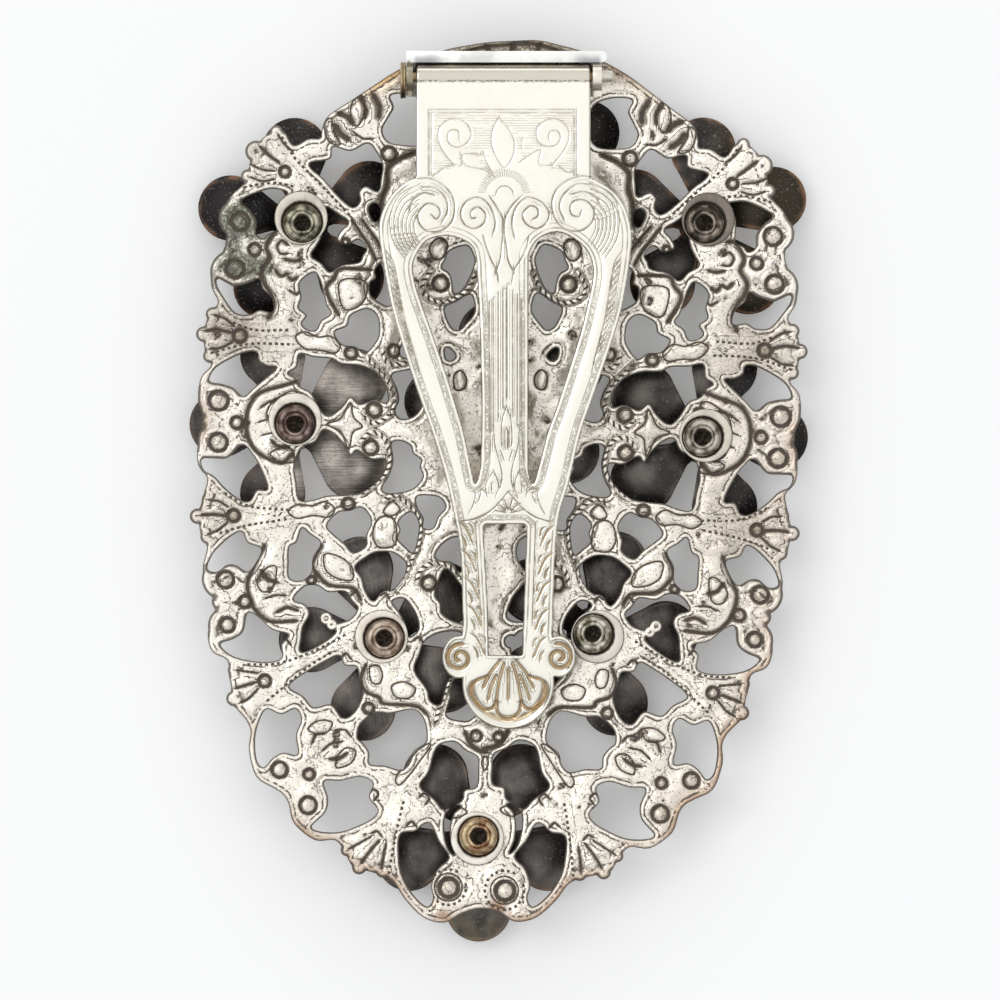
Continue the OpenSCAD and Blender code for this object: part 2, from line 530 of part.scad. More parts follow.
// The part of a block that lies between two heights over the bowed lever's underside
module on_bow(low, high) {
    intersection() {
        children();
        translate([0, crown_y, crown_z - lever_t - bow_r])
            rotate([0, 90, 0])
                difference() {
                    cylinder(h = 2 * lever_w, r = bow_r + high, center = true, $fn = 400);
                    cylinder(h = 3 * lever_w, r = bow_r + low, center = true, $fn = 400);
                }
    }
}

module lever_outline() {
    difference() {
        union() {
            translate([lever_left, lever_top_y])
                square([lever_w, hinge_y - lever_top_y]);
            polygon(smooth(concat(LEVER_SIDE_L, LEVER_SIDE_R)));
            for (scroll = FOOT_SCROLLS)
                translate([scroll.x, scroll.y])
                    scale([scroll.z, scroll[3]])
                        circle(1, $fn = 32);
            translate(SHELL)
                circle(shell_r, $fn = 72);
        }
        polygon(smooth(WINDOW_L));
        polygon(smooth(WINDOW_R));
        polygon(SLOT);
    }
}

// The lever: a pierced and bowed sheet, rolled into a barrel round the pin, with a lip turned down
// round the shell at its foot
module lever() color([0.93, 0.92, 0.87]) {
    barrel_x = [lever_left, lever_left + lever_w];
    difference() {
        union() {
            on_bow(0, lever_t)
                linear_extrude(height = block_h)
                    offset(delta = 0)
                        lever_outline();
            on_bow(-lip_h, lever_t / 2)
                translate(SHELL)
                    linear_extrude(height = block_h)
                        difference() {
                            circle(shell_r - shell_lip_in, $fn = 72);
                            circle(shell_r - shell_lip_t, $fn = 72);
                            translate([-shell_r, 0])
                                square([2 * shell_r, shell_r]);
                        }
            across(barrel_x, barrel_r);
        }
        across([barrel_x[0] - 1, barrel_x[1] + 1], pin_d / 2 + pin_gap);
    }
}

plate();
flower(1);  // flower_1
flower(2);  // flower_2
flower(3);  // flower_3
flower(4);  // flower_4
flower(5);  // flower_5
flower(6);  // flower_6
flower(7);  // flower_7
flower(8);  // flower_8
flower(9);  // flower_9
rivet(1);  // rivet_1
rivet(2);  // rivet_2
rivet(3);  // rivet_3
rivet(4);  // rivet_4
rivet(5);  // rivet_5
rivet(6);  // rivet_6
rivet(7);  // rivet_7
rivet(8);  // rivet_8
rivet(9);  // rivet_9
washer(1);  // washer_1
washer(2);  // washer_2
washer(3);  // washer_3
washer(4);  // washer_4
washer(5);  // washer_5
washer(6);  // washer_6
washer(7);  // washer_7
bracket();
hinge_pin();
lever();
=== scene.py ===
"""A dress clip, seen from behind: pierced plate, pressed flowers, rivets, washers, bracket, pin, lever."""

import math

import bpy
import numpy as np
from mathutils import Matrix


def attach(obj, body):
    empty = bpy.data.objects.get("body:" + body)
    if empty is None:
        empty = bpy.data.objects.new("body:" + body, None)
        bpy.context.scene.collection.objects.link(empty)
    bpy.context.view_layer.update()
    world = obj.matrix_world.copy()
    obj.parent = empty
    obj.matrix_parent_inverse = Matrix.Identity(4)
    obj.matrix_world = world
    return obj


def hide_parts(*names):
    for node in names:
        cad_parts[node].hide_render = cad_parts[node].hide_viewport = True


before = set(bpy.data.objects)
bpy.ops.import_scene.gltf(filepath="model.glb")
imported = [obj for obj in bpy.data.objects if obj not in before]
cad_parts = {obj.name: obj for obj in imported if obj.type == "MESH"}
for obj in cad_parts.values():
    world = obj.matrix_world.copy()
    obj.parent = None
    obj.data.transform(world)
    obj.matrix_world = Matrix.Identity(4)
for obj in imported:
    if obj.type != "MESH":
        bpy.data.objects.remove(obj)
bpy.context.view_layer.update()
bpy.ops.object.select_all(action="DESELECT")
MM = 0.001

# Camera
# The photograph looks straight down from far off on the clip, which lies on its front. It takes in
# 84 mm, and its middle is a little right of and below the clip's own.
FRAME_WIDTH = 84 * MM
FRAME_MIDDLE = (0.21 * MM, -0.67 * MM)
FRAME_HEIGHT = 5 * MM
LENS = 1200
SENSOR = 36
FAR_CLIP = 20
bpy.ops.object.camera_add(
    location=(*FRAME_MIDDLE, FRAME_HEIGHT + FRAME_WIDTH * LENS / SENSOR),
    rotation=(0, 0, 0),
)
camera = bpy.context.object
camera.data.lens = LENS
camera.data.sensor_width = SENSOR
camera.data.clip_end = FAR_CLIP
bpy.context.scene.camera = camera

# Floor
# A plain pale sheet that the clip lies on, lit from below a little like a light table, and wide enough
# to fill every view. The two classes write a finish: a Reading is a value that changes over a
# surface, and a Finish is one material.
FLOOR_SIDE = 6
FLOOR_COLOUR = (0.875, 0.872, 0.868, 1)
FLOOR_ROUGHNESS = 0.9
FLOOR_GLOW = (1, 0.985, 0.96, 1)
FLOOR_GLOW_STRENGTH = 0.185


class Reading:
    """A value that changes over a surface; sums on it add its nodes."""

    def __init__(self, finish, socket):
        self.finish = finish
        self.socket = socket

    def maths(self, operation, *values):
        return self.finish.node("ShaderNodeMath", {"operation": operation}, *values)

    def __add__(self, other):
        return self.maths("ADD", self, other)

    def __radd__(self, other):
        return self.maths("ADD", other, self)

    def __sub__(self, other):
        return self.maths("SUBTRACT", self, other)

    def __rsub__(self, other):
        return self.maths("SUBTRACT", other, self)

    def __mul__(self, other):
        return self.maths("MULTIPLY", self, other)

    def __rmul__(self, other):
        return self.maths("MULTIPLY", other, self)

    def __truediv__(self, other):
        return self.maths("DIVIDE", self, other)

    def __abs__(self):
        return self.maths("ABSOLUTE", self)

    def part(self):
        """What is left past the last whole number."""
        return self.maths("FRACT", self)

    def most(self, other):
        return self.maths("MAXIMUM", self, other)

    def rise(self, low, high):
        """0 up to low, 1 from high, and a smooth climb between them."""
        settings = {"interpolation_type": "SMOOTHSTEP"}
        return self.finish.node("ShaderNodeMapRange", settings, self, low, high, 0.0, 1.0)


class Finish:
    """One material, and the ways to write its nodes."""

    def __init__(self, name):
        self.material = bpy.data.materials.new(name)
        self.material.use_nodes = True
        self.tree = self.material.node_tree
        self.surface = self.tree.nodes["Principled BSDF"]

    def node(self, kind, settings, *values, out=0, **named):
        new = self.tree.nodes.new(kind)
        for setting, value in settings.items():
            setattr(new, setting, value)
        for place, value in [*enumerate(values), *named.items()]:
            if value is not None:
                self.join(new.inputs[place], value)
        return Reading(self, new.outputs[out])

    def join(self, socket, value):
        if isinstance(value, Reading):
            self.tree.links.new(value.socket, socket)
        else:
            socket.default_value = value

    def place(self):
        return self.node("ShaderNodeTexCoord", {}, out="Object")

    def axes(self):
        split = self.node("ShaderNodeSeparateXYZ", {}, self.place())
        return [Reading(self, socket) for socket in split.socket.node.outputs]

    def stored(self, name):
        return self.node("ShaderNodeAttribute", {"attribute_name": name}, out="Fac")

    def noise(self, size, detail=2.0, stretch=(1, 1, 1)):
        """Smooth noise whose blotches are about size millimetres."""
        scale = tuple(k / (size * MM) for k in stretch)
        place = self.node("ShaderNodeMapping", {}, self.place(), Scale=scale)
        return self.node("ShaderNodeTexNoise", {}, place, Scale=1.0, Detail=detail)

    def mix(self, share, first, second):
        kind = {"data_type": "RGBA"}
        return self.node("ShaderNodeMix", kind, share, *[None] * 5, first, second, out=2)

    def bump(self, height, depth):
        return self.node("ShaderNodeBump", {}, Strength=1.0, Distance=depth * MM, Height=height)

    def set(self, **sockets):
        for name, value in sockets.items():
            self.join(self.surface.inputs[name.replace("_", " ")], value)

    def give(self, piece):
        piece.data.materials.clear()
        piece.data.materials.append(self.material)


bpy.ops.mesh.primitive_plane_add(size=FLOOR_SIDE)
floor = bpy.context.object
floor.name = "floor"
pale = Finish("pale_floor")
pale.set(
    Base_Color=FLOOR_COLOUR,
    Roughness=FLOOR_ROUGHNESS,
    Emission_Color=FLOOR_GLOW,
    Emission_Strength=FLOOR_GLOW_STRENGTH,
)
pale.give(floor)

# Light
# A soft box hangs over the clip to one side and a long one stands behind its hinge end. The room is
# pale overhead and dims fast towards the horizon, so that slopes in the metal show darker than flats.
SOFT_BOXES = [
    # place, turn, width and length in metres, and power in watts
    ((-0.8, 0.5, 1.5), (0, -28, 0), 0.9, 0.9, 3.6),
    ((0, 1.6, 0.8), (-63, 0, 0), 1.8, 0.5, 4.0),
]
# How bright the room is at heights from the horizon, 0, to overhead, 1
ROOM = [(0, 0.10), (0.43, 0.40), (0.73, 0.97), (1, 1.03)]
ROOM_TINT = (0.965, 0.985, 1.01)
for number, (place, turn, width, length, power) in enumerate(SOFT_BOXES, 1):
    turn = [math.radians(angle) for angle in turn]
    bpy.ops.object.light_add(type="AREA", location=place, rotation=turn)
    box = bpy.context.object
    box.name = f"soft_box_{number}"
    box.data.shape = "RECTANGLE"
    box.data.size = width
    box.data.size_y = length
    box.data.energy = power
room = bpy.data.worlds.new("room")
room.use_nodes = True
bpy.context.scene.world = room
nodes = room.node_tree.nodes
links = room.node_tree.links
direction = nodes.new("ShaderNodeTexCoord")
split = nodes.new("ShaderNodeSeparateXYZ")
ramp = nodes.new("ShaderNodeValToRGB")
stops = ramp.color_ramp.elements
for _ in ROOM[2:]:
    stops.new(0.5)
for stop, (height, bright) in zip(stops, ROOM):
    stop.position = height
    stop.color = (*(bright * part for part in ROOM_TINT), 1)
links.new(direction.outputs["Generated"], split.inputs[0])
links.new(split.outputs["Z"], ramp.inputs[0])
links.new(ramp.outputs[0], nodes["Background"].inputs[0])
bpy.context.scene.view_settings.view_transform = "Standard"

# Plate
# The pierced backing, cast in white metal and plated. It is a gentle dome of lacework: fan leaves,
# scrolls with raised eyes, palmettes and roped links, each with a bright rim round its piercings.
# The tables hold millimetres across and along, on the lacework's own axes, which lean a little.
LACE_TURN = math.radians(-2)
LACE_X = -0.32
RIGHT_SHIFT = (0.4, 0.3)
RIGHT_LEAN = 0.008
PLATE_UNDER = 3.3
PLATE_THICK = 0.9
DOME_RADIUS = 450
# Left half of the outer edge, from the top of the arch to the bottom
RIM = [
    [-1.7, 37.75], [-3.6, 37.4], [-5.7, 36.85], [-9, 35.3], [-11.3, 33.75], [-13.2, 32.4],
    [-15, 31.1], [-15.5, 29.9], [-15.6, 29.2], [-16.6, 29.1], [-17.8, 28.5], [-18.6, 29.6],
    [-19.4, 29.8], [-20.7, 28.7], [-21.4, 27.1], [-21.7, 25.4], [-23, 24], [-23.6, 22.4],
    [-23.2, 20.6], [-23.5, 19.3], [-24.3, 17.9], [-24.3, 16.4], [-23.7, 15.1], [-24.4, 14.2],
    [-24.8, 12.5], [-24.6, 10.7], [-24.1, 9.8], [-24.9, 8.8], [-25.1, 7], [-24.6, 5],
    [-25, 3], [-24.9, 1.4], [-24.1, 0.3], [-24.4, -1.2], [-24.7, -2.9], [-24.4, -4.7],
    [-23.9, -5.5], [-24.2, -7.5], [-23.2, -9.7], [-23.1, -10.9], [-23.6, -12.6], [-23.2, -14.2],
    [-21.9, -14.9], [-21.7, -16.2], [-21.5, -17], [-21.3, -18.5], [-20.1, -19.9], [-19.7, -20.9],
    [-19.8, -22.4], [-19.1, -24.6], [-17.6, -25.5], [-16.8, -26], [-16.3, -26.8], [-15.8, -28.4],
    [-14, -29.75], [-12.3, -29.7], [-11.5, -30.6], [-10.7, -31.9], [-9.4, -32.2], [-8, -32.6],
    [-7.2, -33.1], [-6.3, -34.4], [-4.7, -35.9], [-2.9, -36.3], [-1.5, -35.5]
]
RIM_TOP = [0.5, 37.95]
RIM_BOTTOM = [0, -35]
# Round ends of the fan leaves and scrolls, as across, along and radius
LOBES = [
    [-19.3, 29.6, 0.55], [-20.95, 27.9, 0.9], [-21.6, 25.8, 0.55], [-22.3, 22.2, 1.6],
    [-22.6, 17.7, 1.85], [-24.1, 14.1, 0.6], [-24.8, 12.4, 0.65], [-24.2, 10.6, 0.6],
    [-23.4, 7, 1.7], [-24, 5, 0.7], [-23.3, 3.5, 1.7], [-23.9, -1.5, 0.6], [-24.8, -2.9, 0.65],
    [-23.9, -4.6, 0.6], [-22.5, -8.1, 1.75], [-22.6, -10, 0.75], [-21.95, -12, 1.65],
    [-21.2, -15.7, 0.6], [-21.2, -18.1, 0.65], [-11.3, -30.5, 0.5], [-10.2, -31.9, 0.6],
    [-8.2, -32.1, 0.6]
]
# Piercings of the left half
GAPS = [
    # Between the top palmette, the first fan leaf's stem and the top curl
    [[-16.3, 27.1], [-14.7, 27.5], [-14.5, 28.5], [-13, 28.2], [-11.6, 28.9], [-10.8, 28.1], [-10.3, 27.1],
     [-10.4, 25.9], [-10.6, 24.9], [-11.6, 25.3], [-12.2, 24.8], [-12.1, 24], [-12.7, 23.5], [-14, 24.5],
     [-15.2, 25.8], [-16.2, 26.6]],
    # Beside the lever's top plate
    [[-9.8, 33], [-9.5, 32], [-10, 31], [-10.4, 30.1], [-10, 29.2], [-9, 28.9], [-7, 29], [-6.2, 30.5],
     [-6.6, 32.4], [-8.2, 33.1]],
    # The small seed below the top curl
    [[-11.3, 23.4], [-10.9, 23.9], [-10.4, 23.6], [-10.4, 22.6], [-10.9, 22.4]],
    # Above and below the first pair of scrolls
    [[-22, 23.7], [-20.8, 24.4], [-19.5, 24.8], [-18.2, 24.5], [-18.9, 23.5], [-19, 22.2], [-19, 21.4],
     [-19.7, 21], [-20.1, 20.6], [-20.7, 21], [-20.7, 22.1], [-21.3, 23]],
    [[-23.8, 17.1], [-22.9, 16.7], [-22.3, 16.5], [-21, 16.9], [-20.3, 17.2], [-20, 16.4], [-19.2, 15.6],
     [-19.1, 14.5], [-20.2, 14.6], [-21, 14.2], [-22.2, 14.3], [-23.2, 15.5], [-23.8, 16.5]],
    # Between the second palmette and the first cartouche leaf
    [[-16.9, 17], [-15.8, 17.9], [-15.3, 17.4], [-14.9, 16.3], [-14.6, 15.2], [-14.2, 14.5], [-15, 13.9],
     [-15.4, 13.1], [-16.1, 13.1], [-16.6, 13.6], [-16.2, 14.3], [-16.9, 14.9], [-16.7, 15.8]],
    # Below the first fan leaf's stem, beside the washer
    [[-15, 23.4], [-13.8, 22.8], [-13, 22.2], [-13.6, 21.5], [-13.9, 20.7], [-13, 20.3], [-12.1, 20.8],
     [-11.4, 20.1], [-11.7, 19.5], [-12, 18.9], [-13.4, 18.6], [-14.4, 18], [-15.1, 18.7], [-16, 19.3],
     [-15.6, 20.1], [-15.2, 20.9], [-15, 22]],
    # Either side of the first cartouche leaf's foot
    [[-10.6, 18.3], [-10, 18.9], [-9.6, 17.4], [-9.1, 15.8], [-9.4, 15.3], [-10.3, 15.7], [-10.9, 16.2],
     [-11, 17.2], [-10.5, 17.6]],
    [[-13.8, 13], [-12.8, 13.5], [-12.5, 14.4], [-11.2, 15], [-10.3, 14.4], [-10.1, 13], [-10.4, 12.2],
     [-11.2, 11.3], [-12, 11.8], [-13, 11.9], [-13.5, 12.3]],
    # Above the second pair of scrolls
    [[-24.2, 8.5], [-23.8, 9.5], [-22.7, 10.3], [-21.2, 11], [-20.3, 11], [-20.1, 10.3], [-19.4, 9.9],
     [-18.6, 9.8], [-19.5, 8.9], [-20.5, 8], [-21.3, 7.3], [-22.2, 8], [-23.2, 8.3]],
    # Above the star leaf
    [[-17.6, 9.4], [-16.9, 9.9], [-16.7, 11], [-15.5, 10.8], [-14, 10.7], [-13.2, 10.3], [-11.6, 10.2],
     [-10.2, 9.6], [-9.4, 8.5], [-9.2, 7.2], [-10.3, 7.4], [-11.5, 7], [-12.3, 7.6], [-13, 6.7],
     [-14.1, 5.9], [-14.9, 6.6], [-15.6, 7.8], [-16.6, 8.3], [-17, 9]],
    # Below the second pair of scrolls
    [[-24.6, 1.9], [-23.6, 2], [-22.4, 2.1], [-21.3, 3.2], [-20.4, 2.5], [-19.6, 1.2], [-19, -0.4],
     [-19.9, -0.5], [-20.4, -1.4], [-21.2, -1.4], [-22.5, -0.5], [-23.5, 0.5], [-24.4, 1]],
    # Below the star leaf
    [[-16.3, 3.1], [-16.8, 1.6], [-16.6, 0.3], [-16.3, -1.2], [-15.2, -1.2], [-14, -0.8], [-12.8, -0.7],
     [-11.3, -0.5], [-10, 0.4], [-9.3, 1.4], [-9.2, 2.4], [-10.4, 2.4], [-11.6, 3.1], [-12.1, 2.6],
     [-12.7, 3.5], [-13.6, 4.4], [-14.5, 4.7], [-15.1, 3.7]],
    # Below the link at the third fan leaf's end
    [[-13.9, -3.3], [-13, -2.2], [-12, -2], [-11, -1.7], [-10.2, -2.8], [-10.6, -4], [-10.6, -4.9],
     [-11.6, -5.5], [-12.3, -4.8], [-13.2, -4.1]],
    # Above the third pair of scrolls
    [[-23.8, -7.3], [-23.5, -6.2], [-22.8, -5.3], [-21.8, -4.4], [-21, -4.1], [-20.5, -5], [-19.4, -5.4],
     [-19.6, -6.3], [-20.4, -7.4], [-21.4, -6.9], [-22.2, -6.9], [-23, -7.5]],
    # Either side of the second cartouche leaf
    [[-17, -5.2], [-16.4, -4.8], [-16, -3.6], [-15.3, -4.1], [-14.4, -4.8], [-15, -6], [-15.1, -7.3],
     [-15.9, -8], [-16.9, -7.8], [-17, -6.5]],
    [[-11.4, -6.7], [-10.4, -5.8], [-9.6, -5.4], [-8.3, -5.4], [-7.2, -6.2], [-7.3, -7.3], [-8.1, -8.4],
     [-9.1, -8.7], [-9.8, -9.5], [-10.5, -8.6], [-10.8, -7.6]],
    # Between the fourth palmette and the fourth fan leaf's stem
    [[-16.5, -9.6], [-15.6, -8.5], [-14.5, -8.4], [-13.6, -8.9], [-12.2, -8.8], [-11.6, -9.6],
     [-11.1, -10.2], [-11.7, -11.1], [-12.9, -11.6], [-12.9, -12.3], [-14.3, -13.4], [-15.7, -14],
     [-15.7, -12.9], [-15.6, -11.9], [-15.1, -10.8], [-15.5, -10]],
    # Below the third pair of scrolls
    [[-22.5, -13.6], [-21.4, -13.1], [-20.6, -12.4], [-20.3, -10.9], [-19.4, -11.2], [-18.2, -12.2],
     [-16.8, -12.6], [-17.4, -13.4], [-17.3, -14.5], [-18.2, -14.9], [-19.8, -14.9], [-21.5, -14.5]],
    # Between the fourth fan leaf's stem and the round palmette
    [[-16.6, -16.9], [-15.2, -15.7], [-13.6, -14.7], [-12.5, -14.2], [-12, -15], [-11, -15.1],
     [-10.7, -16.2], [-10.4, -17.3], [-11, -18.8], [-12, -19.4], [-13, -18.3], [-14.5, -18.6],
     [-15.4, -17.7]],
    # Left of the round palmette, inside the rim
    [[-18.4, -18.9], [-17.2, -19.3], [-16, -18.8], [-15.5, -19.7], [-15.9, -21], [-15.7, -22.6],
     [-16.9, -22.5], [-17.8, -23], [-18.5, -23.8], [-19.1, -23.2], [-19.3, -21.4], [-19, -19.9]],
    # Beside the fifth fan leaf's stem
    [[-13.4, -24.8], [-12, -24.7], [-10.4, -24.3], [-9.3, -24.8], [-9.6, -26], [-8.8, -27], [-9.3, -27.8],
     [-10.6, -28.5], [-12, -29], [-13.6, -29], [-14.3, -28.6], [-13.2, -27.4], [-13, -26.2]],
    # Down the inner field, beside the lever's arm
    [[-8.9, 9.5], [-7.9, 9.9], [-6.4, 10], [-6, 8.5], [-6.3, 7], [-7, 6.1], [-8, 5.9], [-8.5, 6.5],
     [-8.2, 7.4], [-8.4, 8.4]],
    [[-8.7, 3.8], [-7.9, 4], [-7.1, 3.6], [-6.9, 3], [-6.2, 2.5], [-6.3, 1.9], [-6, 1.1], [-6.5, 0.3],
     [-7.4, -0.2], [-8.9, -0.4], [-9.4, 0], [-8.8, 1.1], [-8.5, 2.4]],
    [[-6.5, -0.8], [-6.1, -0.5], [-4.6, -0.6], [-4, -1.4], [-4.6, -2.2], [-5, -3.2], [-5.8, -3.2],
     [-5.8, -2.4], [-6.3, -1.6]],
    [[-7.9, -2.8], [-7.3, -2.1], [-6.7, -2], [-6.2, -2.9], [-6.3, -4.3], [-6.6, -5.3], [-7.2, -4.9],
     [-7.9, -4.2], [-7.7, -3.5]],
    [[-4.7, -5.5], [-4.2, -4.6], [-3.1, -3.9], [-2, -4.3], [-1.8, -5.6], [-2.6, -6.8], [-3.3, -6],
     [-4.3, -5.9]],
    [[-4.1, -7], [-3.6, -6.7], [-2.7, -7.7], [-2, -8.6], [-1.5, -9.4], [-1.2, -10.8], [-2.4, -11.1],
     [-3.9, -10.4], [-4.1, -9.5], [-4.6, -8.7]],
    # Round the lower washer
    [[-8.2, -9.5], [-7.3, -9.2], [-6.5, -10], [-6, -11], [-6, -11.9], [-6.7, -12.4], [-7, -11.3],
     [-7.6, -10.3]],
    [[-5.3, -12.7], [-4.1, -12], [-2.4, -11.9], [-1.6, -13.2], [-2.4, -15.2], [-3.3, -15.9], [-3.6, -17],
     [-3.9, -18], [-4.7, -17.7], [-5, -16.7], [-6.1, -15.2], [-5.7, -13.8]],
    # Under the lever's shell
    [[-2.7, -15.8], [-1.2, -16.2], [-0.4, -18], [-1.2, -19.1], [-2, -19.3], [-3.3, -18.9], [-3, -17.4]],
    # Between the round palmette and the bottom leaf
    [[-10.7, -21], [-10.5, -19.9], [-9.3, -18.9], [-8, -18.9], [-6.2, -18.5], [-5.4, -19], [-5, -20],
     [-5, -21.2], [-6, -22], [-6.3, -23], [-7, -23.6], [-8.3, -23.3], [-9.6, -23.2], [-9.7, -22.2],
     [-10.3, -21.4]],
    # Over the bottom flower's petals
    [[-4, -21.6], [-2.6, -21.1], [-1.6, -21.8], [-0.6, -22.3], [-0.5, -23.4], [-0.6, -24.8],
     [-1.6, -25.1], [-1.8, -26], [-3.2, -26.8], [-4, -26], [-5.3, -24.9], [-4.6, -23.7]],
    [[-3.15, -28.6], [-3.1, -27.3], [-2.5, -26.5], [-1.8, -26.5], [-2.4, -27.1], [-2.7, -28.2],
     [-2.6, -29.5], [-2.2, -30.6], [-2.8, -30]],
    [[-6.8, -29], [-5.6, -28.7], [-4.9, -28.1], [-4.3, -28.1], [-3.6, -29.5], [-2.7, -30.8],
     [-3.6, -31.8], [-4.1, -33.2], [-3.9, -34.3], [-4.4, -35], [-5.6, -34], [-6.6, -32.3],
     [-6.9, -30.6]],
    # Seen through the lever's windows, and under its arms
    [[-4.4, 20.1], [-3, 20.6], [-2.4, 19.8], [-2.3, 19.2], [-2.6, 18.2], [-3.2, 17], [-3.9, 16.6],
     [-4.1, 17.6], [-4.4, 18.3], [-5, 18.7], [-4.7, 19.4]],
    [[-4.6, 15.4], [-3.8, 15.8], [-2.6, 16.5], [-2.2, 15.8], [-2.2, 14.9], [-2.9, 14], [-3.4, 13.5],
     [-4, 13.7], [-4.5, 14.6]],
    [[-4.5, 11.9], [-4.1, 11.9], [-3.6, 11.3], [-4, 10.9], [-4.4, 11.1]],
    [[-8.2, 11.9], [-8.1, 11.1], [-7, 11.1], [-6.6, 12.2], [-7.4, 12.9]]
]
# Buds in the gap below the fourth palmette, raised eyes, those of the knot under the shell, and
# small holes down the middle, each as across, along and radius
BUDS = [[-13.7, -11.1, 0.55], [-13.2, -11.6, 0.5]]
EYES = [
    [-22.1, 22, 0.75], [-22.4, 18, 0.75], [-20.8, 19.7, 0.5], [-23.4, 6.9, 0.8], [-23.3, 3.4, 0.75],
    [-21.8, 5.1, 0.5], [-22.3, -8.1, 0.7], [-22, -11.9, 0.6], [-20.6, -9.9, 0.5], [-17.2, -23.9, 0.65],
    [-14.7, -26.8, 0.7], [-14.7, -24.2, 0.45], [-18.5, 26.3, 0.45],
    [-21.8, 12.4, 0.55], [-21.8, -2.7, 0.5], [-18.7, -16.5, 0.5], [-9.8, 28.1, 0.6],
    [-13.2, 20.6, 0.3], [-12.4, 11.3, 0.5], [-12.2, -1.4, 0.5], [-15.1, -7.9, 0.35],
    [-5.1, 17.4, 0.65], [-8.8, 11.6, 0.5], [-10.3, 6.6, 0.6], [-10.5, 3.4, 0.6], [-5.2, -7.8, 0.6],
    [-9.9, -18.5, 0.45]
]
KNOT_EYES = [[-0.8, -20.5, 0.45], [1.1, -20.5, 0.4]]
DRAINS = [[-1.9, -12.5, 0.5], [1.9, -12.5, 0.5]]
# Rivets on the clip's own axes: across, along, the direction of one petal, and how far the washer
# lies off the rivet. The last two are under the lever, with no washer.
RIVETS = [
    [-16.4, 22.6, 96, -0.1, 0.45], [-17, 5.7, 36, 0, 0.4], [17.2, 4.6, 0, 0.3, 0.15],
    [17.4, 22.6, 19, 0.3, 0.3], [-9.5, -12.3, 37, -0.25, 0.15], [8, -11.9, 0, 0.4, -0.25],
    [-1.6, -28.9, -90, -0.1, -0.2], [1.5, 28.9, 12, 0, 0], [1.05, 7.3, 33, 0, 0]
]
# Each rivet stands on a round pad with a hole
RIVET_PAD = 1.75
RIVET_HOLE = 1.17
# Fine lines are drawn in the finish, so places further off than this many widths hold none
NO_LINE = 3.0
# A groove's spread and a dome's ring, as parts of their width and radius
GROOVE_SPREAD = 0.6
DOME_RING = 0.5
# How fast a leaf swells, and the width of its line
LEAF_SWELL = 0.45
LEAF_LINE = 0.13
LEAF_CREASE = 0.12
# The crease either side of a wire: how far off, how wide and how deep
CREASE_OFF = 0.05
CREASE_WIDE = 0.08
CREASE_DEEP = 0.08
# The moat round an eye: its depth, and how far it lies off the dome's middle, in ring widths
MOAT_DEPTH = 0.16
MOAT_OFF = 0.3


def bell(values, width):
    """1 where a value is 0, falling off over a width to either side."""
    return np.exp(-((values / width) ** 2))


def limited(values):
    return np.clip(values, 0, 1)


def loop(x, y, wide, angles, long=None):
    """Points round a place, on a circle, a spiral or an upright oval."""
    long = wide if long is None else long
    return np.stack([x + wide * np.cos(angles), y + long * np.sin(angles)], -1)


def curve_through(points, closed=True, steps=4):
    """A smooth curve through a row of points, as an array."""
    p = np.array(points, float)
    if closed:
        before, after, beyond = np.roll(p, 1, 0), np.roll(p, -1, 0), np.roll(p, -2, 0)
    else:
        ends = np.vstack([2 * p[0] - p[1], p, 2 * p[-1] - p[-2]])
        before, p, after, beyond = ends[:-3], ends[1:-2], ends[2:-1], ends[3:]
    rows = []
    for t in np.arange(steps) / steps:
        rows.append(
            p
            + (after - before) * t / 2
            + (2 * before - 5 * p + 4 * after - beyond) * t**2 / 2
            + (3 * p - before - 3 * after + beyond) * t**3 / 2
        )
    line = np.stack(rows, 1).reshape(-1, 2)
    return line if closed else np.vstack([line, after[-1]])


def on_right(points):
    """The same place on the lacework's right half, which is a near mirror of the left."""
    p = np.array(points, float)
    return np.stack(
        [RIGHT_SHIFT[0] - p[..., 0] + RIGHT_LEAN * p[..., 1], RIGHT_SHIFT[1] + p[..., 1]], -1
    )


def halves(points):
    """A place or row of places on the left half, and the same on the right half."""
    return np.array(points, float), on_right(points)


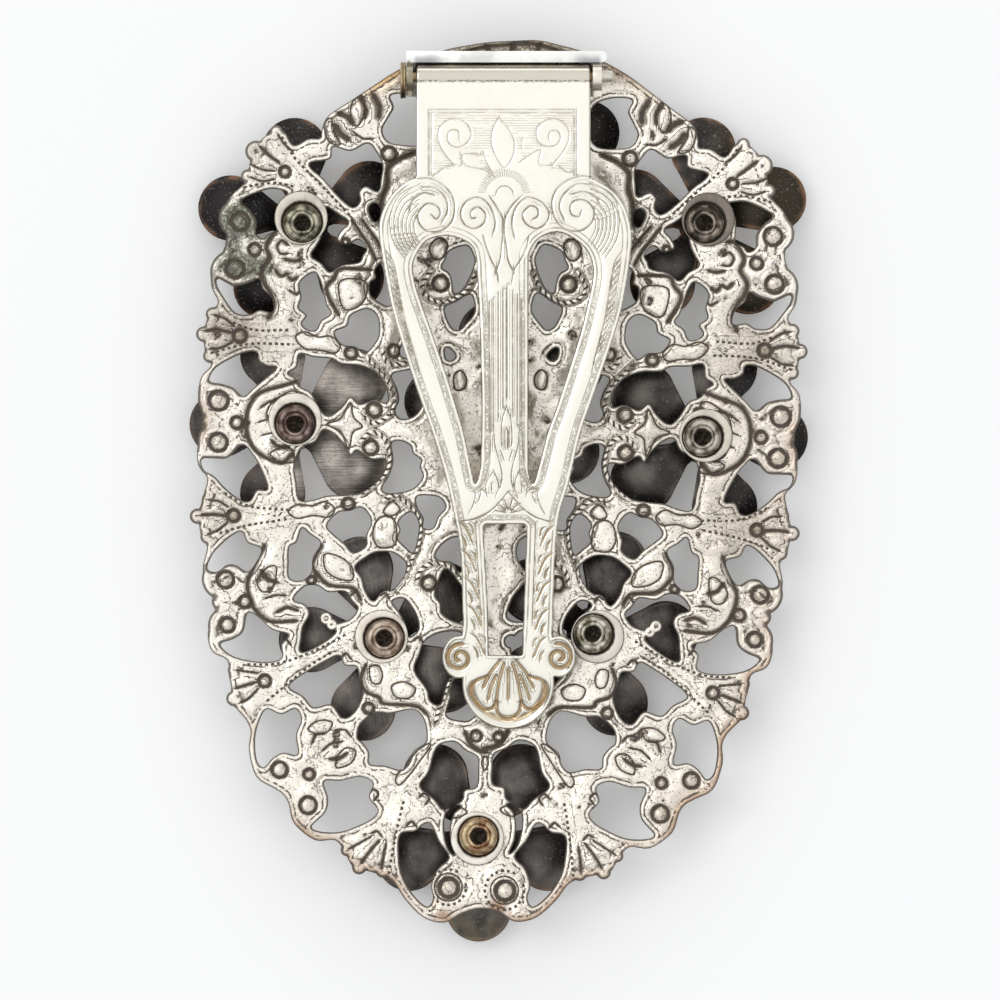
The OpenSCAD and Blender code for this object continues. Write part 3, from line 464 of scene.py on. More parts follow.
class Sheet:
    """Heights and marks of a sheet of metal, kept on a lattice of places across and along it."""

    def __init__(self, low, high, step, reach=1.5):
        self.step = step
        self.reach = reach
        self.across = np.arange(low[0], high[0] + step, step)
        self.along = np.arange(low[1], high[1] + step, step)
        self.x, self.y = np.meshgrid(self.across, self.along)
        self.metal = np.full(self.x.shape, -reach)
        self.height = np.zeros(self.x.shape)
        self.cut = np.zeros(self.x.shape)
        self.line = np.full(self.x.shape, NO_LINE)
        self.line_side = np.full(self.x.shape, NO_LINE)

    def window(self, points, reach):
        """The part of the lattice round some points."""
        low = (np.min(points, 0) - reach - [self.across[0], self.along[0]]) / self.step
        high = (np.max(points, 0) + reach - [self.across[0], self.along[0]]) / self.step
        low = np.maximum(np.floor(low).astype(int), 0)
        high = np.maximum(np.ceil(high).astype(int) + 1, 0)
        return slice(low[1], high[1]), slice(low[0], high[0])

    def near(self, line, reach, closed=False):
        """Window, distance, side and way along of the places near a line."""
        line = np.array(line, float)
        if closed:
            line = np.vstack([line, line[0]])
        spot = self.window(line, reach)
        x, y = self.x[spot], self.y[spot]
        far = np.full(x.shape, float(reach))
        side, way = far.copy(), np.zeros(x.shape)
        done = 0.0
        corner = np.array([self.across[spot[1]][0], self.along[spot[0]][0]])
        for a, b in zip(line[:-1], line[1:]):
            run = b - a
            length = math.hypot(*run)
            if length < 1e-9:
                continue
            low = (np.minimum(a, b) - reach - corner) / self.step
            high = (np.maximum(a, b) + reach - corner) / self.step
            low = np.maximum(np.floor(low).astype(int), 0)
            high = np.ceil(high).astype(int) + 1
            part = (slice(low[1], high[1]), slice(low[0], high[0]))
            dx, dy = x[part] - a[0], y[part] - a[1]
            share = np.clip((dx * run[0] + dy * run[1]) / length**2, 0, 1)
            off_x, off_y = dx - share * run[0], dy - share * run[1]
            distance = np.sqrt(off_x**2 + off_y**2)
            closer = distance < far[part]
            far[part] = np.where(closer, distance, far[part])
            turn = np.sign(run[0] * off_y - run[1] * off_x)
            side[part] = np.where(closer, distance * turn, side[part])
            way[part] = np.where(closer, done + share * length, way[part])
            done += length
        return spot, far, side, way

    def inside(self, line):
        """Window, and how far the places near a closed line are inside it."""
        line = np.array(line, float)
        spot, far, _, _ = self.near(line, self.reach, closed=True)
        x, y = self.x[spot], self.y[spot]
        within = np.zeros(x.shape, bool)
        bottom = self.along[spot[0]][0]
        for a, b in zip(line, np.roll(line, -1, 0)):
            if a[1] == b[1]:
                continue
            low, high = sorted([a[1], b[1]])
            rows = slice(
                max(math.ceil((low - bottom) / self.step - 1e-9), 0),
                max(math.ceil((high - bottom) / self.step - 1e-9), 0),
            )
            crossing = a[0] + (y[rows] - a[1]) * (b[0] - a[0]) / (b[1] - a[1])
            within[rows] ^= x[rows] < crossing
        return spot, np.where(within, far, -far)

    def add_metal(self, line):
        spot, depth = self.inside(line)
        self.metal[spot] = np.maximum(self.metal[spot], depth)

    def add_round(self, x, y, r):
        spot = self.window([(x, y)], r + self.reach)
        self.metal[spot] = np.maximum(self.metal[spot], self.round_depth(spot, x, y, r))

    def round_depth(self, spot, x, y, r):
        depth = r - np.hypot(self.x[spot] - x, self.y[spot] - y)
        return np.clip(depth, -self.reach, self.reach)

    def rule(self, spot, side, width):
        """Notes how far places lie from a fine line, as parts of its width, for the finish to draw."""
        far = np.abs(side) / width
        closer = far < self.line[spot]
        self.line[spot] = np.where(closer, far, self.line[spot])
        self.line_side[spot] = np.where(closer, side / width, self.line_side[spot])

    def groove(self, line, width, depth, colour=1.0):
        """A rounded groove along a line, with the dirt and painted shade it holds."""
        spot, far, side, _ = self.near(line, NO_LINE * width)
        self.rule(spot, side, width)
        shape = bell(far, GROOVE_SPREAD * width)
        self.height[spot] -= depth * shape
        self.cut[spot] = np.maximum(self.cut[spot], colour * shape)

    def ridge(self, line, width, height):
        """A half-round wire along a line, with a fine dark line each side of it."""
        spot, far, side, way = self.near(line, 2 * width + 0.3)
        round_top = np.sqrt(limited(1 - (far / width) ** 2))
        self.height[spot] = np.maximum(self.height[spot], 0) * (far > width) + np.where(
            far > width, np.minimum(self.height[spot], 0), height * round_top
        )
        crease = bell(far - width - CREASE_OFF, CREASE_WIDE)
        self.height[spot] -= CREASE_DEEP * crease
        self.cut[spot] = np.maximum(self.cut[spot] * (far > width), 0.8 * crease)
        return spot, far, side, way

    def leaf(self, line, height):
        """A swelling leaf inside a closed line, with a dark crease round it."""
        spot, depth = self.inside(line)
        swell = height * (1 - np.exp(-np.clip(depth, 0, None) / LEAF_SWELL))
        edge = bell(depth, LEAF_CREASE)
        self.rule(spot, depth, LEAF_LINE)
        self.height[spot] += 0.5 * swell - 0.1 * edge
        self.cut[spot] = np.maximum(self.cut[spot], 0.9 * edge)

    def boss(self, x, y, r, height=0.13, ring=0.19):
        """A round eye: a dark ring, and a dome with a shallow ring in it."""
        spot = self.window([(x, y)], r + 3 * ring)
        far = np.hypot(self.x[spot] - x, self.y[spot] - y)
        off = np.hypot(self.x[spot] - x - MOAT_OFF * ring, self.y[spot] - y + MOAT_OFF * ring)
        moat = bell(off - r, ring)
        inside = far < r
        dome = height * np.sqrt(limited(1 - (off / r) ** 2))
        dome -= 0.04 * bell(off - DOME_RING * r, 0.1)
        self.height[spot] = np.where(inside, dome - 0.04, self.height[spot]) - MOAT_DEPTH * moat
        self.rule(spot, far - r, 1.2 * ring)
        dirt_and_shade = np.maximum(1.1 * moat, 0.55 * inside)
        self.cut[spot] = np.where(inside, dirt_and_shade, np.maximum(self.cut[spot], dirt_and_shade))

    def blurred(self, values, size):
        """Values spread over a size in millimetres."""
        wave_x = np.fft.rfftfreq(values.shape[1], self.step)
        wave_y = np.fft.fftfreq(values.shape[0], self.step)
        keep = np.exp(-2 * (math.pi * size) ** 2 * (wave_x[None] ** 2 + wave_y[:, None] ** 2))
        return np.fft.irfft2(np.fft.rfft2(values) * keep, values.shape)

    def uneven(self, size, seed):
        """Smooth random values with a spread of about 1."""
        raw = np.random.default_rng(seed).standard_normal(self.x.shape)
        soft = self.blurred(raw, size)
        return soft / soft.std()

    def cast(self, name, top, under, stored, limit):
        """The sheet's mesh: both faces and the walls between them, cut off where the metal ends."""
        metal = self.metal.copy()
        x, y = self.x.copy(), self.y.copy()
        slope_y, slope_x = np.gradient(metal, self.step)
        steep = np.maximum(slope_x**2 + slope_y**2, 0.25)
        close = np.abs(metal) < 0.3 * self.step
        x[close] -= (metal * slope_x / steep)[close]
        y[close] -= (metal * slope_y / steep)[close]
        metal[close] = 0
        rows, columns = metal.shape
        values = np.stack([x, y, *stored.values()], -1).reshape(-1, 2 + len(stored))
        flat = metal.ravel()
        number = np.arange(rows * columns).reshape(rows, columns)
        crossings = []
        tables = []
        made = rows * columns
        for a, b in ((number[:, :-1], number[:, 1:]), (number[:-1], number[1:])):
            first, second = flat[a], flat[b]
            cut = first * second < 0
            share = (first / np.where(cut, first - second, 1))[cut][:, None]
            crossings.append(values[a[cut]] * (1 - share) + values[b[cut]] * share)
            table = np.where(first == 0, a, np.where(second == 0, b, -1))
            table[(first < 0) == (second < 0)] = -1
            table[cut] = made + np.arange(cut.sum())
            made += cut.sum()
            tables.append(table)
        values = np.vstack([values, *crossings])
        level, upright = tables
        corner = np.where(metal >= 0, number, -1)
        ring = np.stack(
            [
                corner[:-1, :-1],
                level[:-1],
                corner[:-1, 1:],
                upright[:, 1:],
                corner[1:, 1:],
                level[1:],
                corner[1:, :-1],
                upright[:, :-1],
            ],
            -1,
        ).reshape(-1, 8)
        ring = ring[(corner[:-1, :-1] >= 0).ravel() | (ring >= 0).any(1)]
        order = np.argsort(ring < 0, axis=1, kind="stable")
        ring = np.take_along_axis(ring, order, 1)
        faces = np.vstack([ring[:, [0, k, k + 1]] for k in range(1, 5)])
        faces = faces[faces.min(1) >= 0]
        distinct = (faces[:, 0] != faces[:, 1]) & (faces[:, 1] != faces[:, 2])
        faces = faces[distinct & (faces[:, 0] != faces[:, 2])]
        used, faces = np.unique(faces, return_inverse=True)
        faces = faces.reshape(-1, 3)
        values = values[used]
        count = len(values)
        edges = np.vstack([faces[:, [0, 1]], faces[:, [1, 2]], faces[:, [2, 0]]])
        alone = ~np.isin(edges[:, 0] * count + edges[:, 1], edges[:, 1] * count + edges[:, 0])
        a, b = edges[alone].T
        walls = np.vstack(
            [np.stack([b, a, a + count], -1), np.stack([b, a + count, b + count], -1)]
        )
        faces = np.vstack([faces, faces[:, ::-1] + count, walls])
        places = np.vstack([top(values), under(values)]) * MM
        mesh = bpy.data.meshes.new(name)
        mesh.vertices.add(len(places))
        mesh.vertices.foreach_set("co", places.astype(np.float32).ravel())
        mesh.loops.add(faces.size)
        mesh.loops.foreach_set("vertex_index", faces.astype(np.int32).ravel())
        mesh.polygons.add(len(faces))
        mesh.polygons.foreach_set("loop_start", np.arange(0, faces.size, 3, dtype=np.int32))
        mesh.update(calc_edges=True)
        for column, mark in enumerate(stored, 2):
            both = np.concatenate([values[:, column], np.zeros(count)])
            mesh.attributes.new(mark, "FLOAT", "POINT").data.foreach_set("value", both)
        piece = bpy.data.objects.new(name, mesh)
        bpy.context.scene.collection.objects.link(piece)
        if len(faces) > limit:
            bpy.context.view_layer.objects.active = piece
            piece.modifiers.new("thin", "DECIMATE").ratio = limit / len(faces)
            bpy.ops.object.modifier_apply(modifier="thin")
        mesh = piece.data
        mesh.polygons.foreach_set("use_smooth", np.ones(len(mesh.polygons), bool))
        return piece


# Relief of the left half. Each rope or row of dots is a line; a groove has its width, its depth and
# how much dirt and painted shade it holds; a leaf has its height and is a closed line.
ROPES = [
    [[-5.9, 18.4], [-6.6, 17.2], [-6.2, 16.2], [-5, 15.8], [-3.7, 16.2], [-2.7, 17], [-2.2, 18.2]],
    [[-9.7, 11.6], [-9.5, 10.8], [-8.8, 10.4], [-7.8, 10.6]],
    [[-11, 10.9], [-10.3, 10.2], [-9.3, 9.2], [-8.8, 8.2], [-8.6, 7.2], [-8.8, 6.4], [-9.4, 5.8],
     [-10.3, 5.4], [-11, 5.9]],
    [[-11.3, 3.9], [-10.5, 4.6], [-9.5, 4.4], [-9, 3.5], [-8.8, 2.3], [-9.1, 1.3], [-9.9, 0.5],
     [-11, -0.4]],
    [[-9.2, -1], [-8.3, -0.6], [-7.2, -1.2], [-6.2, -2.4], [-6, -3.5], [-6.2, -4.7], [-6.7, -6],
     [-7.3, -7.2], [-8.2, -8.4]],
    [[-6.2, -7.8], [-5.9, -6.8], [-5, -6.2], [-3.8, -6.2], [-2.9, -6.9]],
    [[-3.1, -15.7], [-3.7, -17.6], [-4.2, -19.5]],
]
DOTS = [
    [[-18.9, 29.3], [-17.6, 27.4], [-15.2, 25.1], [-13, 22.9]],
    [[-22, 24.8], [-19.5, 25.3], [-17.5, 25]],
    [[-22.5, 13.5], [-20.5, 12.9], [-17.5, 13]],
    [[-24.3, 10.8], [-21, 11.7], [-17.3, 11.8]],
    [[-22.7, -0.8], [-20.5, -1.9], [-17.3, -2.1]],
    [[-23, -4.3], [-20.5, -3.5], [-17.3, -2.9]],
    [[-20.3, -15.2], [-17.5, -15], [-14.5, -13.8], [-11.8, -12.3]],
    [[-18.5, -18.3], [-16.5, -16.5], [-14.5, -14.8], [-12.8, -13.8]],
    [[-11.5, -28.8], [-8.5, -26]],
    [[-7.7, -32.5], [-7.2, -29], [-6.6, -26]],
]
GROOVES = [
    # Frames of the palmettes and cartouche leaves
    (0.36, 0.3, 1, [[-18.4, 21.4], [-19, 21.3], [-19.8, 20], [-19.5, 19], [-20.1, 18], [-20, 17],
                    [-19.3, 16], [-19, 15], [-19.4, 14]]),
    (0.32, 0.3, 1, [[-16.6, 8.8], [-18, 8.3], [-20, 7.6], [-20.8, 6.4], [-21, 5], [-20.7, 3.7],
                    [-19.9, 2.6], [-18, 1.8], [-17, 2.6]]),
    (0.32, 0.3, 1, [[-19.1, -5.2], [-20, -7.2], [-20.4, -8.5], [-19.9, -10.3], [-18.5, -11.5],
                    [-16.2, -11.4]]),
    (0.32, 0.3, 1, [[-11, 18.3], [-13.5, 18.3], [-14, 17.5], [-14.6, 16.8], [-14.5, 16],
                    [-13.6, 14.5]]),
    (0.3, 0.3, 1, [[-14.3, -5], [-15, -6.5], [-14.6, -7.4], [-13.5, -8.3], [-11.5, -8.5],
                   [-10.9, -9.4]]),
    (0.3, 0.3, 1, [[-10.2, -14.9], [-10.6, -16], [-10.2, -17.1], [-9, -17.6], [-8.6, -18.1],
                   [-6, -18.2], [-5, -18.8]]),
    # The dark slit from the top curl down beside the lever, and the strokes below it
    (0.42, 0.35, 1, [[-7.5, 28.3], [-9, 27.6], [-9.8, 26.8], [-9.8, 25.5], [-10.2, 24.3],
                     [-10.4, 22.4]]),
    (0.25, 0.3, 1, [[-12.6, 22.3], [-11.8, 21.2], [-11, 20], [-10.6, 19.2]]),
    (0.25, 0.3, 1, [[-11.8, 22.4], [-11, 21.4], [-10.2, 20.3], [-9.8, 19.4]]),
    # Veins of the fan leaves' ends
    (0.2, 0.15, 0.8, [[-17.9, 28], [-18.6, 28.6], [-19.1, 29.3]]),
    (0.3, 0.2, 0.9, [[-19, 27], [-19.8, 27.6], [-20.5, 28.2]]),
    (0.2, 0.15, 0.8, [[-19.4, 26.3], [-20.4, 26.4], [-21.4, 26.8]]),
    (0.2, 0.15, 0.8, [[-19.4, 25.6], [-20.3, 25.4], [-21.3, 25.7]]),
    (0.22, 0.15, 0.9, [[-22.3, 13.2], [-23.1, 13.8], [-23.9, 14]]),
    (0.3, 0.2, 0.9, [[-22.6, 12.6], [-23.6, 12.8], [-24.6, 12.7]]),
    (0.22, 0.15, 0.9, [[-22.4, 11.8], [-23.3, 11.3], [-24.2, 11.2]]),
    (0.22, 0.15, 0.8, [[-22.3, -2], [-23, -1.6], [-23.8, -1.5]]),
    (0.3, 0.2, 0.9, [[-22.5, -2.8], [-23.4, -2.7], [-24.4, -2.8]]),
    (0.22, 0.15, 0.8, [[-22.3, -3.4], [-23, -4], [-23.8, -4.4]]),
    (0.22, 0.15, 0.8, [[-19.3, -15.9], [-20.2, -15.8], [-21, -15.7]]),
    (0.3, 0.2, 0.9, [[-19.5, -16.7], [-20.4, -17], [-21, -17.2]]),
    (0.22, 0.15, 0.8, [[-19.2, -17.2], [-19.9, -18], [-20.6, -18.4]]),
    (0.25, 0.2, 0.9, [[-8.6, -29.6], [-9.4, -30.6], [-10, -31.5]]),
    (0.25, 0.2, 0.9, [[-8, -29.9], [-8.2, -31], [-8.3, -31.9]]),
    (0.2, 0.15, 0.8, [[-9.3, -29.3], [-10.3, -29.9], [-11.1, -30.4]]),
    # The lower side of the round knot under the shell
    (0.4, 0.3, 1, [[-1.65, -20.3], [-1.2, -21.2], [-0.55, -21.7], [0.12, -21.85]]),
    # The top rim's dark line and the cells under it
    (0.3, 0.2, 1, [[-4.8, 36.3], [-2.5, 37.2], [0, 37.6], [1.5, 37.7]]),
    (0.45, 0.25, 1, [[-4.6, 35.9], [-3, 36.4]]),
    (0.3, 0.25, 1, [[-1.9, 37.4], [-1.6, 36.5]]),
    (0.3, 0.25, 1, [[0.2, 37.6], [0.5, 36.6]]),
    # Folds of the top palmette
    (0.55, 0.35, 1, [[-14.3, 30.2], [-13.9, 29.6], [-13.3, 29.2]]),
    (0.5, 0.35, 1, [[-14, 31.3], [-13.3, 31], [-13, 30.6]]),
    (0.35, 0.3, 0.9, [[-12.4, 32.7], [-11.9, 31.9], [-11.9, 31.1]]),
    (0.5, 0.35, 0.9, [[-11.2, 32.9], [-10.7, 32], [-10.7, 31.2]]),
    (0.2, 0.15, 0.8, [[-12.8, 29.8], [-12, 29.3], [-11.2, 29.3]]),
    # Curls and folds of the second palmette, beside the first washer
    (0.2, 0.25, 1, [[-18, 19.4], [-18.6, 19.4], [-18.9, 20], [-18.5, 20.5], [-18, 20.2]]),
    (0.28, 0.3, 1, [[-18.1, 18.9], [-17.4, 18.8], [-16.9, 18.9]]),
    (0.3, 0.3, 1, [[-18.9, 17.9], [-18.5, 17.5], [-18, 17.7]]),
    (0.3, 0.3, 1, [[-17.8, 17.4], [-17.5, 17.2], [-17.2, 17.4]]),
    (0.2, 0.2, 0.9, [[-17.7, 16.3], [-17.1, 16], [-16.7, 16.4], [-16.2, 16.2]]),
    # Folds of the third, beside the second washer
    (0.2, 0.2, 0.7, [[-19.8, 6.4], [-19.1, 6.9], [-18.2, 7.1]]),
    (0.16, 0.15, 0.7, [[-19.9, 5.2], [-19.1, 5.4], [-18.6, 5.1]]),
    (0.16, 0.15, 0.7, [[-19.6, 4.1], [-18.8, 4.3], [-18.2, 4.1]]),
    (0.3, 0.25, 0.9, [[-18.7, 3.6], [-18.2, 3.2], [-17.4, 3.3]]),
    # Almond slits of the fourth
    (0.3, 0.3, 1, [[-19.2, -7.4], [-18.7, -8], [-18, -8.2]]),
    (0.3, 0.3, 1, [[-17.8, -10.7], [-17, -10.3], [-16.2, -10.5]]),
    (0.2, 0.2, 0.8, [[-18.8, -9.6], [-18, -9.3], [-17.2, -9.3]]),
    # The round palmette
    (0.3, 0.3, 1, [[-12.9, -22.9], [-12.2, -22.8], [-11.6, -22.4]]),
    (0.2, 0.2, 0.8, [[-13.6, -22.2], [-12.9, -21.6], [-12, -21.4]]),
    (0.22, 0.25, 1, [[-14.5, -21.6], [-14.2, -20.9], [-13.6, -20.8]]),
    (0.2, 0.2, 0.8, [[-12.6, -20.5], [-11.8, -20.4], [-11.3, -20.9]]),
    # Small scrolls
    (0.2, 0.2, 1, [[-9.6, -25.6], [-9.2, -25.3], [-8.8, -25.7], [-9.1, -26.2]]),
    (0.2, 0.2, 1, [[-5.3, -25.8], [-4.9, -25.5], [-4.5, -25.9], [-4.8, -26.4]]),
    (0.2, 0.2, 1, [[-6.3, -28.2], [-5.9, -27.9], [-5.5, -28.3]]),
    (0.2, 0.2, 1, [[-9.2, -29], [-8.8, -28.8], [-8.4, -29.2]]),
    (0.2, 0.2, 1, [[-12.3, -14.3], [-11.9, -14], [-11.5, -14.4]]),
    (0.2, 0.2, 1, [[-17.4, -13.3], [-17, -13], [-16.6, -13.4]]),
    (0.2, 0.2, 1, [[-11.7, -9.1], [-11.3, -8.8], [-10.9, -9.2]]),
    (0.2, 0.2, 1, [[-9.2, -9], [-8.8, -8.8], [-8.5, -9.2]]),
    (0.2, 0.2, 1, [[-6.3, -12.7], [-5.9, -12.4], [-5.5, -12.8]]),
]
LEAVES = [
    # Drop leaves at the stems' ends
    (0.2, [[-17.1, 12.4], [-16.3, 12.9], [-15.2, 12.5], [-14.1, 12.6], [-13.3, 11.9], [-13.7, 11.2],
           [-15, 11.4], [-16.3, 11.5]]),
    (0.2, [[-17.2, -2.2], [-16.3, -1.6], [-15.2, -1.7], [-14.1, -1.3], [-13.3, -1.9], [-13.8, -2.6],
           [-15.1, -2.5], [-16.4, -2.8]]),
    # Four-pointed star leaf
    (0.22, [[-14.2, 5.2], [-13.1, 5.7], [-12.3, 7.1], [-12, 5.9], [-11.2, 5.1], [-12, 4.6],
            [-12.3, 3.1], [-13, 4.6]]),
    # Square leaf, and the small one over it
    (0.22, [[-9.9, -3.1], [-9.3, -2.4], [-8.3, -2.6], [-8, -3.8], [-8.2, -4.8], [-9.4, -5],
            [-10, -4.2]]),
    (0.15, [[-9.2, -1.9], [-8.5, -1.1], [-7.8, -1.7], [-8.2, -2.2], [-8.8, -2.3]]),
    # The cartouche leaves' middles
    (0.18, [[-13.6, 17.1], [-12.4, 17.5], [-11.3, 17.2], [-11.3, 16], [-12, 15.1], [-13.2, 15]]),
    (0.18, [[-14, -5.7], [-12.7, -5.9], [-11.7, -6.7], [-11.6, -7.8], [-12.9, -7.7], [-13.9, -7]]),
    (0.18, [[-9.9, -15.1], [-9.2, -14.9], [-8.8, -15.6], [-9, -16.4], [-9.7, -16.3]]),
    (0.18, [[-8, -16.6], [-7, -16.2], [-6, -16.7], [-6.4, -17.5], [-7.6, -17.5]]),
    # Palmettes' petals
    (0.22, [[-15.3, 30.4], [-14.7, 30.9], [-14.5, 29.9], [-13.9, 28.7], [-14.9, 29]]),
    (0.22, [[-13, 32.3], [-12.3, 32.9], [-11.9, 31.6], [-12.5, 30.3], [-13.1, 31.1]]),
    (0.25, [[-18.9, 6.8], [-17.3, 7.9], [-16.6, 7.4], [-17.6, 6.2], [-19.2, 5.7]]),
    (0.25, [[-18.2, 3], [-17.2, 3.1], [-16.8, 2], [-17.9, 1.9], [-18.9, 2.5]]),
    (0.25, [[-19.6, -8.1], [-18.8, -7], [-18, -7], [-18.3, -8.8], [-19.2, -9]]),
    (0.25, [[-14.9, -20.4], [-14, -19.7], [-12.9, -19.8], [-13.2, -20.6], [-14.2, -20.8]]),
    (0.25, [[-12.4, -23.6], [-11.2, -23.2], [-10.8, -22.2], [-11.6, -21.9], [-12.3, -22.6]]),
    # Slanted leaf between the round palmette and the bottom, and the cells either side of it
    (0.2, [[-4.5, -21.4], [-5.4, -22.8], [-6.9, -24.8], [-7.4, -24.4], [-6.7, -23.2], [-5.3, -21.6]]),
    (0.2, [[-3.2, -26.6], [-2.2, -26.5], [-1.3, -26.9], [-1.9, -27.4], [-2.8, -27.4]]),
    # Bosses under the lever
    (0.25, [[-6.1, 20.4], [-5.3, 21.2], [-4.6, 20.7], [-4.9, 19.6], [-5.7, 19.4]]),
    (0.25, [[-3.7, 9.6], [-3.1, 10.1], [-2.6, 9.4], [-2.8, 8.6], [-3.5, 8.5]]),
]
SCROLL_ENDS = [[-22.1, 22, 1.25], [-22.4, 18, 1.3], [-23.4, 6.9, 1.3],
               [-23.3, 3.4, 1.25], [-22.3, -8.1, 1.2], [-22, -11.9, 1.1]]
# The two large scrolls at the bottom, each with its own place: across, along, its eye's radius and
# that of its ring of beads
BOTTOM_SCROLLS = [[-2.66, -33.3, 0.8, 1.5], [2.07, -33.4, 0.8, 1.65]]
# The almond cut in the stem below the knot
STEM_CELL = [[0.07, -22.2], [0.36, -22.75], [0.07, -23.4], [-0.22, -22.75]]

LACE_LATTICE = 0.14
MOST_TRIANGLES = 190000
lace = Sheet((-26.4, -38.2), (26.6, 38.8), LACE_LATTICE)
left_rim = np.array(RIM)
lace.add_metal(
    curve_through(np.vstack([[RIM_TOP], left_rim, [RIM_BOTTOM], on_right(left_rim)[::-1]]))
)
for x, y, r in LOBES:
    for place in halves((x, y)):
        lace.add_round(*place, r)
outer_edge = lace.metal.copy()
holes = np.full(lace.x.shape, -lace.reach)
for gap in GAPS:
    for corners in halves(gap):
        spot, depth = lace.inside(curve_through(corners))
        holes[spot] = np.maximum(holes[spot], depth)


def on_lace(x, y):
    """A place of the clip on the lacework's own axes."""
    x = x - LACE_X
    cosine, sine = math.cos(LACE_TURN), math.sin(LACE_TURN)
    return x * cosine + y * sine, y * cosine - x * sine


for x, y, r in BUDS:
    for bud in halves((x, y)):
        spot = lace.window([bud], r + lace.reach)
        holes[spot] = np.minimum(holes[spot], -lace.round_depth(spot, *bud, r))
for x, y, *_ in RIVETS:
    pad = on_lace(x, y)
    spot = lace.window([pad], RIVET_PAD + lace.reach)
    holes[spot] = np.minimum(holes[spot], -lace.round_depth(spot, *pad, RIVET_PAD))
for x, y, r in [(*on_lace(x, y), RIVET_HOLE) for x, y, *_ in RIVETS] + DRAINS:
    spot = lace.window([(x, y)], r + lace.reach)
    holes[spot] = np.maximum(holes[spot], lace.round_depth(spot, x, y, r))
lace.metal = np.minimum(outer_edge, -holes)

# The casting's skin: swelling flats with a broken dark line inside each bright rim
edge = np.clip(lace.metal, 0, None)
patchy = limited(0.6 + 0.5 * lace.uneven(0.8, 3))
line_in = 0.46 + 0.06 * lace.uneven(0.9, 4)
for x, y, r in LOBES:
    for lobe in halves((x, y)):
        edge[np.hypot(lace.x - lobe[0], lace.y - lobe[1]) < r + 0.2] *= 0.5
rim_line = bell(edge - line_in, 0.09) * patchy
within = limited((edge - 0.3) / 0.5)
lace.height += 0.08 * (1 - np.exp(-np.clip(edge - 0.45, 0, None) / 0.4))
lace.height += (0.05 * lace.uneven(0.6, 5) + 0.018 * lace.uneven(0.25, 9)) * within
lace.height -= 0.1 * rim_line
lace.cut = 0.55 * rim_line
folds = limited((lace.uneven(0.3, 6) * within - 1.2) * 1.2)
lace.cut = np.maximum(lace.cut, 0.8 * folds)
lace.height -= 0.08 * folds
for height, corners in LEAVES:
    for line in halves(corners):
        lace.leaf(curve_through(line), height)
for width, depth, colour, corners in GROOVES:
    for line in halves(corners):
        lace.groove(curve_through(line, closed=False), width, depth, colour)
for x, y, r in SCROLL_ENDS:
    for eye in halves((x, y)):
        spot = lace.window([eye], r + 0.6)
        far = np.hypot(lace.x[spot] - eye[0], lace.y[spot] - eye[1])
        ring = bell(far - r, 0.1)
        lace.height[spot] -= 0.1 * ring
        lace.cut[spot] = np.maximum(lace.cut[spot], 0.6 * ring)
for x, y, r in EYES:
    for place in halves((x, y)):
        lace.boss(*place, r)
for x, y, r in KNOT_EYES:
    lace.boss(x, y, r, ring=0.16)
lace.groove(curve_through(STEM_CELL), 0.14, 0.12)
bead_rings = []
HOOP_RADIUS = 1.17
HOOP = np.linspace(0, 2 * math.pi, 40)
BEADED = np.linspace(0.3 * math.pi, 2.1 * math.pi, 36)
for x, y, r, beads in BOTTOM_SCROLLS:
    lace.boss(x, y, r, 0.2, 0.24)
    lace.groove(loop(x, y, HOOP_RADIUS, HOOP), 0.14, 0.12, 0.6)
    bead_rings.append(loop(x, y, beads, BEADED))
marks = {}
MARK_REACH = 0.6
for mark, lines in (("rope", ROPES), ("dots", DOTS)):
    sides = np.full(lace.x.shape, MARK_REACH)
    ways = np.zeros(lace.x.shape)
    both = [curve_through(line, False) for corners in lines for line in halves(corners)]
    for line in both + (bead_rings if mark == "dots" else []):
        if mark == "rope":
            spot, _, side, way = lace.ridge(line, 0.3, 0.2)
        else:
            spot, _, side, way = lace.near(line, MARK_REACH)
        nearer = np.abs(side) < np.abs(sides[spot])
        sides[spot] = np.where(nearer, side, sides[spot])
        ways[spot] = np.where(nearer, way, ways[spot])
    marks[mark + "_side"] = np.clip(sides, -MARK_REACH, MARK_REACH)
    marks[mark + "_way"] = ways

# Dirt and painted shade darken what lies lower than its surroundings; the outer edge is worn to
# copper in places
EDGE_ROUND = 0.16
lace.height -= 0.2 * limited(1 - edge / EDGE_ROUND) ** 2
solid = (lace.metal > 0).astype(float)
around = lace.blurred(lace.height * solid, 0.3) / np.maximum(lace.blurred(solid, 0.3), 0.05)
low = limited((around - lace.height - 0.03) / 0.12) * limited(edge / 0.15)
marks["dirt_and_shade"] = limited(np.maximum(lace.cut, 0.8 * low))
marks["edge"] = limited(edge)
marks["line"] = lace.line
marks["line_side"] = lace.line_side


# Patches of stain and wear: strength, across, along and size
WORN = [
    (1, -17, -25, 6), (1, -10, -32, 7), (1, 2, -36, 6), (1, 16, -27, 9),
    (0.6, -24, 3, 6), (0.5, 22, -14, 7), (0.5, 24, 4, 6),
]
TARNISHED = [(1, -3.3, -35.2, 1.3), (1, 1.6, -35.1, 0.9), (0.6, -6.5, -33.5, 1.2)]
DULLED = [
    (1, -22, 13, 3.5), (0.5, -21.5, 28, 3), (0.5, -22, -3, 3),
    (0.6, 21, 13, 4), (0.6, 21, -2, 4), (0.4, 15, 5, 4),
]
BRASSY = [(1, -10, 34, 2.6), (0.4, 11, 34, 2.6)]
GREENED = [(1, -22, 19.8, 3.1), (0.6, -21.5, 23, 2)]
# The plate's top edge is dull from here up, and at most this dull
DULL_TOP = 34.2
MOST_DULL = 1.4


def patches(rows):
    """Soft round patches, added up."""
    return sum(
        strength * np.exp(-((lace.x - x) ** 2 + (lace.y - y) ** 2) / size**2)
        for strength, x, y, size in rows
    )


